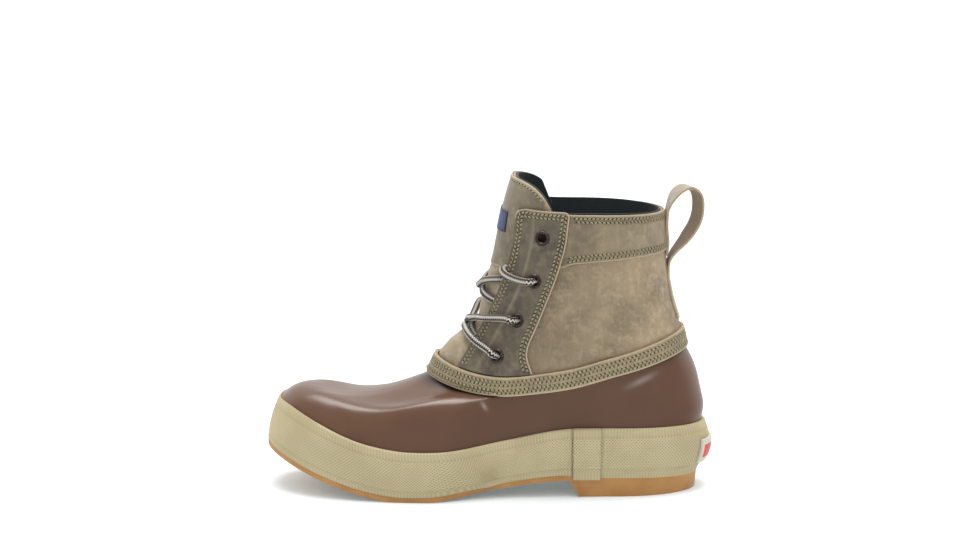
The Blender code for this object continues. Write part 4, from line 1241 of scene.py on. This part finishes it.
def make_insole():
    """The loose insole, a little dished."""
    x, outer, inner = outline("feather", sole_shares(80), -(RUBBER_WALL + INSOLE_MARGIN))
    across = np.linspace(0.0, 1.0, 25)[None, :]
    y = outer[:, None] + (inner - outer)[:, None] * across
    z = feather_z(x)[:, None] + INSOLE_THICK - INSOLE_DISH + INSOLE_DISH * (2 * across - 1.0) ** 4
    points = np.stack([np.broadcast_to(x[:, None], y.shape), y, z], axis=-1)
    piece = sheet("insole", points, INSOLE_THICK - INSOLE_DISH - INSOLE_GAP, [INSOLE] * 3, edge=0)
    belongs(piece, "lining", "insole")


make_outsole()
make_insole()


# Leather shaft

# Corners at the top of a stay's front and rear edge
STAY_CORNERS = (7.5, 5.0)
STAY_FOOT_RISE, STAY_SEWN_RISE, STAY_ABOVE = 3.04, 3.1, 0.05
# The ridge along the inside of a stay: distance from its front edge, half width and height
STAY_RIDGE_AT, STAY_RIDGE_WIDTH, STAY_RIDGE = 13.0, 0.9, 0.3
# Rows of stitches: distances from an edge, and heights up the band, whose height is counted as BAND_HEIGHT
EDGE_ROWS = (2.3, 4.7)
BAND_ROWS, BAND_HEIGHT = (2.0, 4.3, 7.6, 10.2), 13.5
STITCH_PITCH, BAND_PITCH, BAND_STITCH_SIZE = 2.75, 2.9, 1.6
STITCH_SLANT = math.radians(20.0)
# Millimetres to a step of rise, to a radian along a stay, and along the collar band
RISE_MM, STAY_TURN_MM, COLLAR_MM = 43.0, 40.0, 230.0
SHAFT_LEATHER_THICK, LINING_GAP = 1.0, 0.35
# How far the lining stands above the leather rim, in rise
LINING_ABOVE, LINING_FROM = 0.03, 5.0
HOLE_RADIUS, HOLE_DEPTH = 2.9, 16.0
# Rows of stitches that have been noted, to be made last
sewn = []


def sew(turns, rises, out, pitch=STITCH_PITCH, shift=0, size=1.0):
    """Notes a row of stitches along a line on the skin, some way out of it, or shifted by half a pitch."""
    points = offset_skin(turns, rises, out)
    length = run_along(points)[-1]
    count = max(2, int(length / pitch))
    table = even_steps(np.concatenate([points, skin_normal(turns, rises)], axis=1), 2 * count + 1)
    along = np.gradient(table[:, :3], axis=0)
    picked = slice(2, -1, 2) if shift else slice(1, None, 2)
    slant = -STITCH_SLANT if shift else STITCH_SLANT
    sewn.append((table[picked, :3], along[picked], table[picked, 3:], length / count, slant, size))


def row_groove_shade(away):
    """Painted shade along the stitch rows of an edge: how dark the leather is made there."""
    return 0.45 * np.clip(sum(hump(away - row, 0.9) for row in EDGE_ROWS), 0.0, 1.0)


def row_dent(away):
    """How far the stitch rows of an edge draw the leather in."""
    return 0.25 * sum(hump(away - row, 0.8) for row in EDGE_ROWS)


def edge_rub(away, width=1.6):
    """How far a cut edge is rubbed pale."""
    return 1.0 - smooth((away - 0.45 * width) / (0.75 * width))


def rounded(values, count):
    """A list of values averaged over a count of neighbours."""
    half = count // 2
    padded = np.concatenate([np.full(half, values[0]), values, np.full(half, values[-1])])
    return np.convolve(padded, np.full(count, 1.0 / count), mode="valid")


def waves(points, size):
    """Slow soft swells of leather."""
    x, y, z = np.moveaxis(points, -1, 0)
    crossed = np.sin(x / 11.0 + z / 17.0) * np.cos(z / 13.0 - y / 15.0)
    return size * (crossed + 0.5 * np.sin(z / 7.0 + x / 23.0))


def punch(piece, *sides):
    """Cuts the eyelet holes of the given sides through a piece."""
    for (side, _), (place, normal) in EYELET_FRAMES.items():
        if side in sides:
            cutter = added(bpy.ops.mesh.primitive_cylinder_add, vertices=24, radius=HOLE_RADIUS * MM,
                           depth=HOLE_DEPTH * MM)
            bpy.context.view_layer.update()
            cutter.matrix_world = standing(place, normal)
            bpy.context.view_layer.update()
            apply(piece, "BOOLEAN", operation="DIFFERENCE", solver="EXACT", object=cutter)
            bpy.data.objects.remove(cutter)


def make_band():
    """The band that joins shaft and lower, with its rows of stitches."""
    turns = np.append(even_turns("band_low", 420), FULL_TURN)[None, :]
    turns, shares = np.broadcast_arrays(turns, np.linspace(0.0, 1.0, 33)[:, None])
    rises = BAND_LOW + shares
    face = GAP + 0.1 + BAND_THICK
    points = offset_skin(turns, rises, face)
    height = np.linalg.norm(points[-1] - points[0], axis=1)
    up = shares * height
    groove = sum(hump(up - row / BAND_HEIGHT * height, 0.95) for row in BAND_ROWS)
    points = offset_skin(turns, rises, face - 0.45 * (2 * shares - 1.0) ** 4 - 0.6 * groove)
    # The grooves of the stitch rows get painted shade
    values = {"rub": edge_rub(np.minimum(up, height - up), 1.2), "groove": np.clip(0.85 * groove, 0.0, 1.0)}
    piece = sheet("joining_band", points, BAND_THICK - 0.1, [LEATHER["band"], FLESH, CUT], values, ring=True)
    belongs(piece, "olive_leather", "joining_band")
    line = np.linspace(0.0, FULL_TURN, 900)
    for number, row in enumerate(BAND_ROWS):
        rises = np.full(900, BAND_LOW + row / BAND_HEIGHT)
        sew(line, rises, face - 0.3, BAND_PITCH, number % 2, BAND_STITCH_SIZE)


def stay_top(share, width, above):
    """Rise of a stay's top at shares of its width, with round corners."""
    into = np.minimum(share, 1.0 - share) * width
    corner = np.where(share < 0.5, *STAY_CORNERS)
    lack = np.clip(1.0 - into / corner, 0.0, 1.0)
    return COLLAR + above - corner * (1.0 - np.sqrt(1.0 - lack**2)) / RISE_MM


def make_stay(side):
    """An eyestay with round top corners, holes for its eyelets and two rows of stitches round its border."""
    inner = side == "inner"
    rises = np.linspace(STAY_FOOT_RISE, COLLAR + STAY_ABOVE, 160)
    ahead = np.array([turn_at(stay_front, rise, inner) for rise in rises])
    behind = np.array([turn_at(stay_rear, rise, inner) for rise in rises])
    front_line, rear_line = skin(ahead, rises), skin(behind, rises)
    width = np.linalg.norm(front_line[-1] - rear_line[-1])
    above = 0.0 if inner else STAY_ABOVE

    def between(rise, share):
        left, right = np.interp(rise, rises, ahead), np.interp(rise, rises, behind)
        return left + (right - left) * share

    share = 0.5 - 0.5 * np.cos(np.linspace(0.0, math.pi, 49))[None, :]
    level = np.linspace(0.0, 1.0, 111)[:, None]
    grid_rise = STAY_FOOT_RISE + (stay_top(share, width, above) - STAY_FOOT_RISE) * level
    turns = between(grid_rise, share)
    top_share = np.linspace(0.0, 1.0, 80)
    top_rise = stay_top(top_share, width, above)
    top_turn = between(top_rise, top_share)
    points = skin(turns, grid_rise)
    borders = (front_line, rear_line, skin(top_turn, top_rise))
    to_front, to_rear, to_top = (distance_to(points, line) for line in borders)
    away = np.minimum(np.minimum(to_front, to_rear), to_top)
    face = STAY_GAP + STAY_THICK
    ridge = hump(to_front - STAY_RIDGE_AT, STAY_RIDGE_WIDTH)
    out = face + 0.35 * hump(away - 8.0, 5.0) - row_dent(away) + STAY_RIDGE * ridge + waves(points, 0.12)
    rub = edge_rub(np.minimum(to_rear, to_top), 1.0) + 0.35 * ridge * hump(to_top - 50.0, 60.0)
    # Painted shade along the stitch rows
    piece = sheet(f"eyestay_{side}", offset_skin(turns, grid_rise, out), STAY_THICK,
                  [LEATHER["stay"], FLESH, LEATHER["stay"]],
                  {"rub": np.clip(rub, 0.0, 1.0), "groove": row_groove_shade(away)}, flip=inner)
    punch(piece, side)
    belongs(piece, "olive_leather", f"eyestay_{side}")

    below = (rises > STAY_SEWN_RISE) & (rises < top_rise[0] - 0.01)
    border_turn = np.concatenate([ahead[below], top_turn, behind[below][::-1]])
    border_rise = np.concatenate([rises[below], top_rise, rises[below][::-1]])
    scale = (STAY_TURN_MM, RISE_MM)
    line = even_steps(np.stack([border_turn, border_rise], axis=1) * scale, 500) / scale
    for number, row in enumerate(EDGE_ROWS):
        turn, rise = inset_line(line[:, 0], line[:, 1], row if inner else -row)
        sew(rounded(turn, 9), rounded(rise, 9), face + 0.1, STITCH_PITCH, number)


def make_shaft():
    """The leather shaft, open at collar and throat, and its dark lining."""
    rises = np.concatenate([[2.53, 2.75], np.linspace(2.95, 5.995, 84)])
    outer, inner = (np.array([[turn_at(stay_front, rise, side)] for rise in rises]) for side in (False, True))
    turns = inner - FULL_TURN + (outer - inner + FULL_TURN) * np.linspace(0.0, 1.0, 170)
    grid_rise = np.broadcast_to(rises[:, None], turns.shape)
    out = waves(skin(turns, grid_rise), 0.22) * smooth((grid_rise - 2.9) / 0.3)
    piece = sheet("shaft", offset_skin(turns, grid_rise, out), SHAFT_LEATHER_THICK,
                  [LEATHER["shaft"], LINING, CUT], {"rub": edge_rub((COLLAR - grid_rise) * RISE_MM)})
    punch(piece, "outer", "inner")
    belongs(piece, "olive_leather", "shaft")
    lift = LINING_ABOVE * smooth((grid_rise - LINING_FROM) / (COLLAR - LINING_FROM))
    points = offset_skin(turns, grid_rise + lift, -SHAFT_LEATHER_THICK - LINING_GAP)
    thick = SHAFT_WALL - SHAFT_LEATHER_THICK - LINING_GAP
    piece = sheet("shaft_lining", points, thick, [LINING] * 3, edge=0.3)
    punch(piece, "outer", "inner")
    belongs(piece, "lining")


def make_collar():
    """The collar band round the top of the shaft, sewn along both edges."""
    share = np.linspace(0.0, 1.0, 200)
    ends = np.minimum(share, 1.0 - share) * COLLAR_MM
    turns, rises = [], []
    for level in np.linspace(0.0, 1.0, 30):
        edge_rise = COLLAR_FOOT_RISE + (COLLAR - COLLAR_FOOT_RISE) * level
        outer = turn_at(stay_rear, edge_rise, False) + COLLAR_MARGIN
        inner = turn_at(stay_rear, edge_rise, True) - COLLAR_MARGIN - FULL_TURN
        turn = inner + (outer - inner) * share
        foot_z = COLLAR_BACK_Z + (COLLAR_FRONT_Z - COLLAR_BACK_Z) * smooth(np.abs(turn) / 2.2)
        low = rise_of(turn, foot_z - 2.6 * hump(ends, 9.0))
        turns.append(turn)
        rises.append(low + (COLLAR - low) * level)
    turns, rises = np.array(turns), np.array(rises)
    points = skin(turns, rises)
    away = np.minimum(distance_to(points, points[0]), distance_to(points, points[-1]))
    face = STAY_GAP + COLLAR_THICK
    out = face + 0.2 * hump(away - 9.0, 5.0) - 0.9 * (1.0 - smooth(ends / 5.0))
    out = out + waves(points, 0.12) - row_dent(away)
    # Painted shade along the stitch rows
    piece = sheet("collar_band", offset_skin(turns, rises, out), COLLAR_THICK,
                  [LEATHER["collar"], FLESH, CUT], {"rub": edge_rub(away, 1.0), "groove": row_groove_shade(away)})
    belongs(piece, "olive_leather", "collar_band")
    for number, row in enumerate(EDGE_ROWS):
        for line, inset, margin in ((-1, row, 6), (0, -row, 8)):
            turn, rise = inset_line(turns[line, margin:-margin], rises[line, margin:-margin], inset)
            sew(turn, rise, face + 0.1, STITCH_PITCH, number)


make_band()
make_stay("outer")
make_stay("inner")
make_shaft()
make_collar()


# Tongue

TONGUE_SEAM_RISE = 5.12
# Where the lace presses the tongue at the stays' edges: rise and depth, then half width, half height and the
# millimetres to a radian or a step of rise
TONGUE_DENTS = ((3.59, 3.6), (4.445, 3.6), (4.95, 3.6), (5.13, 3.4))
DENT_WIDTH, DENT_HEIGHT, DENT_MM = 5.0, 4.5, 38.0
TONGUE_LEATHER_THICK = 1.5
COVER_OUT, COVER_THICK, COVER_TURN = 1.15, 1.1, 0.8
BLUE_TURN, BLUE_RISES, BLUE_THICK = 0.37, (5.6, 5.91), 0.8


def tongue_grid(columns, rows, low, grow=0.0):
    """Directions, rises and distance out of the tongue's face, from a share of its height up."""
    share = np.linspace(-1.0, 1.0, columns)[None, :]
    height = np.linspace(low, 1.0, rows)[:, None]
    turns = math.pi + np.interp(height, (0.0, 0.3, 0.7, 1.0), TONGUE_HALF) * share
    corner = np.where(share > 0.0, INNER_TONGUE_ROUND, TONGUE_ROUND)
    high = COLLAR + TONGUE_ABOVE + grow - corner * np.abs(share) ** TONGUE_ROUND_POWER
    high = high - 0.3 * smooth((share - 0.84) / 0.16)
    rises = TONGUE_FOOT_RISE + (high - TONGUE_FOOT_RISE) * height
    out = tongue_out(turns, rises)
    for rise, depth in TONGUE_DENTS:
        aside = np.minimum(np.abs(turns - edge(rise)), np.abs(turns - FULL_TURN + edge(rise)))
        out = out - depth * hump(aside * DENT_MM, DENT_WIDTH) * hump((rises - rise) * DENT_MM, DENT_HEIGHT)
    return turns, rises, out


def make_tongue():
    """The tongue's leather face and its dark lining."""
    turns, rises, out = tongue_grid(81, 120, 0.0)
    points = offset_skin(turns, rises, out + waves(skin(turns, rises), 0.15))
    to_side = 1.0 - np.abs(np.linspace(-1.0, 1.0, 81))[None, :]
    rim = np.minimum(to_side, 1.5 * np.linspace(1.0, 0.0, 120)[:, None])
    # Painted shade on the tongue's sides, under the stays' edges
    painted_flank_shade = smooth((np.abs(turns - math.pi) - 0.6) / 0.1) * (rises < COLLAR - 0.1)
    piece = sheet("tongue", points, TONGUE_LEATHER_THICK, [LEATHER["vamp"], LINING, CUT],
                  {"rub": edge_rub(rim * 40.0), "groove": painted_flank_shade})
    belongs(piece, "olive_leather", "tongue")
    turns, rises, out = tongue_grid(81, 120, 0.0, LINING_ABOVE)
    points = offset_skin(turns, rises, out - TONGUE_LEATHER_THICK - 0.05)
    piece = sheet("tongue_lining", points, TONGUE_THICK - TONGUE_LEATHER_THICK - 0.05, [LINING] * 3, edge=0.5)
    belongs(piece, "lining")


def make_tongue_cover():
    """The upper cover sewn over the tongue, and the plain blue patch on it."""
    turns, rises, _ = tongue_grid(81, 70, 0.5)
    raised = TONGUE_SEAM_RISE + (rises - rises[0]) * (rises[-1] - TONGUE_SEAM_RISE) / (rises[-1] - rises[0])
    rises = np.where(rises[-1] > TONGUE_SEAM_RISE + 0.1, raised, rises)
    inside = np.abs(turns[0] - math.pi) < COVER_TURN
    turns, rises = turns[:, inside], rises[:, inside]
    points = offset_skin(turns, rises, tongue_out(turns, rises) + COVER_OUT)
    turn, rise = inset_line(turns[-1], rises[-1], EDGE_ROWS[0])
    sew(turn, rise, tongue_out(turn, rise) + COVER_OUT + 0.05)
    rub = edge_rub(distance_to(points, points[0]), 1.0) + edge_rub(distance_to(points, points[-1]), 1.4)
    piece = sheet("tongue_cover", points, COVER_THICK, [LEATHER["tongue"], FLESH, CUT],
                  {"rub": np.clip(rub, 0.0, 1.0)})
    belongs(piece, "olive_leather")

    turns = np.linspace(math.pi - BLUE_TURN, math.pi + BLUE_TURN, 41)[None, :]
    rises = np.linspace(*BLUE_RISES, 25)[:, None]
    points = offset_skin(turns, rises, tongue_out(turns, rises) + COVER_OUT + BLUE_THICK - 0.05)
    border = np.concatenate([points[0], points[-1], points[:, 0], points[:, -1]])
    hem = 1.0 - smooth((distance_to(points, border) - 1.1) / 0.5)
    piece = sheet("tongue_patch", points, BLUE_THICK, [BLUE] * 3, {"hem": hem}, edge=0.25)
    belongs(piece, "olive_leather")


make_tongue()
make_tongue_cover()


# Eyelets

# Radius and height out of the skin round the rolled section of an eyelet
EYELET_PROFILE = ((2.45, -3.2), (4.0, -3.1), (4.0, -2.8), (2.85, -2.6), (2.85, 2.3), (4.75, 2.3), (5.0, 2.65),
                  (4.8, 3.1), (4.2, 3.4), (3.4, 3.45), (2.8, 3.1), (2.45, 2.3))


def make_eyelets():
    """Rolled metal eyelets: one profile spun about its axis, and a copy in each hole."""
    pattern = added(bpy.ops.mesh.primitive_circle_add, vertices=len(EYELET_PROFILE), radius=MM)
    for vertex, (radius, level) in zip(pattern.data.vertices, EYELET_PROFILE):
        vertex.co = (radius * MM, 0.0, level * MM)
    edit(pattern,
         (bpy.ops.mesh.spin, {"steps": 40, "angle": FULL_TURN, "center": (0, 0, 0), "axis": (0, 0, 1)}),
         (bpy.ops.mesh.select_all, {"action": "SELECT"}),
         (bpy.ops.mesh.remove_doubles, {"threshold": SAME_PLACE}),
         (bpy.ops.mesh.normals_make_consistent, {"inside": False}))
    apply(pattern, "SUBSURF", levels=1, render_levels=1)
    for (side, number), (place, normal) in EYELET_FRAMES.items():
        mesh = pattern.data.copy()
        mesh.transform(standing(place, normal))
        mesh.materials.clear()
        mesh.materials.append(METAL)
        name = f"eyelet_{side}_{number}"
        piece = bpy.data.objects.new("ring_" + name, mesh)
        bpy.context.scene.collection.objects.link(piece)
        soften(piece, 40.0)
        belongs(piece, "eyelet_metal", name)
    bpy.data.objects.remove(pattern)


make_eyelets()


# Pull loop

# Heights at which the strap follows the back seam, and how far it is pressed into the leather there
STRAP_SEAM, STRAP_PRESS = (STRAP_FOOT_Z, 128.0, 138.0, 147.0), 0.2
STRAP_CROWN = 0.15
# Height and run of the strap's twist, and of where it bends round the back: going up, then coming down
TWIST_UP, TWIST_DOWN = (156.0, 20.0), (190.0, 18.0)
LEAVES_UP, LIES_DOWN = (146.0, 14.0), (200.0, 14.0)


def make_pull_loop():
    """The strap sewn up the back seam, with its loop above the collar."""
    heights = np.array(STRAP_SEAM)
    seam = rise_of(np.zeros(4), heights)
    seam_x = offset_skin(np.zeros(4), seam, STRAP_THICK / 2 - STRAP_PRESS)[:, 0]
    path = smooth_path([(x, 0.0, z) for x, z in (*zip(seam_x, heights), *STRAP_LOOP)], 200)
    z = path[:, 2]
    rising = np.arange(len(path)) < z.argmax()

    def above(start, run):
        return smooth((z - start) / run)

    twist = STRAP_TWIST * np.where(rising, above(*TWIST_UP), above(*TWIST_DOWN))
    side = np.stack([-np.sin(twist), np.cos(twist), np.zeros(len(path))], axis=1)
    along = np.gradient(path, axis=0)
    along /= np.linalg.norm(along, axis=1, keepdims=True)
    up = np.cross((0.0, 1.0, 0.0), along)
    up /= np.linalg.norm(up, axis=1, keepdims=True)
    across = np.linspace(-STRAP_WIDTH / 2, STRAP_WIDTH / 2, 21)
    crown = STRAP_CROWN * (1.0 - (2 * across / STRAP_WIDTH) ** 2)
    points = path[:, None] + side[:, None] * across[:, None]
    points = points + up[:, None] * (STRAP_THICK / 2 + crown)[:, None]
    top, run = LIES_DOWN
    lying = np.where(rising, 1.0 - above(*LEAVES_UP), smooth((top - z) / run))
    points[..., 0] -= lying[:, None] * across**2 / (2 * BACK_RADIUS)
    rub = np.broadcast_to(edge_rub(STRAP_WIDTH / 2 - np.abs(across)), points.shape[:2])
    piece = sheet("pull_loop", points, STRAP_THICK, [LEATHER["strap"], FLESH, CUT], {"rub": rub}, flip=False)
    belongs(piece, "olive_leather", "pull_loop")


make_pull_loop()


# Stitches

STITCH_SIZE, STITCH_BOW = (2.6, 1.15, 0.85), 0.22
HOLE_LENGTH, HOLE_WIDTH, HOLE_RISE, HOLE_SINK = 1.25, 1.05, 0.07, 0.4
# How the slant of the stitches differs along a row: share and step
SLANT_SHARE, SLANT_STEP = 0.45, 2.4


def stitch_shape():
    """Points and faces of one stitch: a short bowed bead along +X."""
    bead = added(bpy.ops.mesh.primitive_uv_sphere_add, segments=6, ring_count=5, radius=0.5,
                 rotation=(0.0, math.pi / 2, 0.0))
    bpy.ops.object.transform_apply(location=True, rotation=True, scale=True)
    points = np.array([vertex.co for vertex in bead.data.vertices])
    faces = [tuple(face.vertices) for face in bead.data.polygons]
    bpy.data.objects.remove(bead)
    bow = STITCH_BOW * (2 * points[:, 0]) ** 2
    points = points * STITCH_SIZE
    points[:, 2] -= bow
    return points, faces


def hole_shape():
    """Points and faces of the painted shade of the hole at the end of a stitch: a low six-sided double cone.
    """
    angle = np.linspace(0.0, FULL_TURN, 6, endpoint=False)
    rim = np.stack([HOLE_LENGTH / 2 * np.cos(angle), HOLE_WIDTH / 2 * np.sin(angle), np.zeros(6)], axis=1)
    points = np.concatenate([rim, [(0.0, 0.0, HOLE_RISE), (0.0, 0.0, -HOLE_SINK)]])
    faces = [(k, (k + 1) % 6, 6) for k in range(6)] + [((k + 1) % 6, k, 7) for k in range(6)]
    return points, faces


def make_stitches():
    """All stitches and the painted shade of their holes, joined."""
    shapes = (stitch_shape(), hole_shape())
    points, faces, kinds = [], [], []
    count = 0
    for places, along, normals, pitch, slant, size in sewn:
        along = along / np.linalg.norm(along, axis=1, keepdims=True)
        normals = normals - along * (normals * along).sum(axis=1, keepdims=True)
        normals = normals / np.linalg.norm(normals, axis=1, keepdims=True)
        side = np.cross(normals, along)
        ahead = along * 0.5 * pitch
        lean = (slant * (1.0 + SLANT_SHARE * np.sin(SLANT_STEP * np.arange(len(places)))))[:, None]
        along, side = along * np.cos(lean) + side * np.sin(lean), side * np.cos(lean) - along * np.sin(lean)
        for kind, (shape, shape_faces) in enumerate(shapes):
            wide, long = (1.0 / size, size) if kind else (size, 1.0)
            for here, x_way, y_way, z_way in zip(places + kind * ahead, long * along, wide * side, normals):
                points.append(here + shape[:, :1] * x_way + shape[:, 1:2] * y_way + shape[:, 2:] * z_way)
                faces += [tuple(count + k for k in face) for face in shape_faces]
                kinds += [kind] * len(shape_faces)
                count += len(shape)
    piece = from_arrays("stitching", np.concatenate(points), faces, [THREAD, NEEDLE_HOLE_SHADE], kinds)
    soften(piece, 60.0)
    belongs(piece, "olive_leather")


make_stitches()


# Studio

# Strength of the backdrop in front of the boot and behind it, and the span over which it changes
FRONT_LIGHT, BACK_LIGHT, LIGHT_SPAN = 0.38, 1.15, (-0.15, 0.3)
# Overhead lights: lean away from the camera, width, power, and whether only reflections show it
SUNS = {"soft_light": (-30.0, 70.0, 1.0, False), "top_light": (2.0, 38.0, 1.75, False),
        "shine_light": (3.0, 44.0, 3.5, True)}


def make_studio():
    """A white floor, a backdrop brighter behind the boot, and overhead lights."""
    floor = added(bpy.ops.mesh.primitive_plane_add, size=24.0)
    floor.name = "floor"
    floor.data.materials.append(PAPER)
    floor.visible_glossy = False
    world = bpy.data.worlds.new("studio")
    world.use_nodes = True
    sky = Tone(world.node_tree)
    backdrop = world.node_tree.nodes["Background"]
    backdrop.inputs["Color"].default_value = (1.0, 1.0, 1.0, 1.0)
    behind = sky.node("TexCoord", out="Generated").part("Y").ease(*LIGHT_SPAN)
    sky.put(backdrop.inputs["Strength"], FRONT_LIGHT + (BACK_LIGHT - FRONT_LIGHT) * behind)
    bpy.context.scene.world = world
    for name, (lean, width, power, shines) in SUNS.items():
        light = added(bpy.ops.object.light_add, type="SUN", location=(0.0, 0.0, 2.0),
                      rotation=(-math.radians(lean), 0.0, 0.0))
        light.name = name
        light.data.angle = math.radians(width)
        light.data.energy = power
        light.visible_glossy = shines
        light.visible_diffuse = not shines
    settings = bpy.context.scene.view_settings
    settings.view_transform = "Standard"
    settings.look = "None"


make_studio()
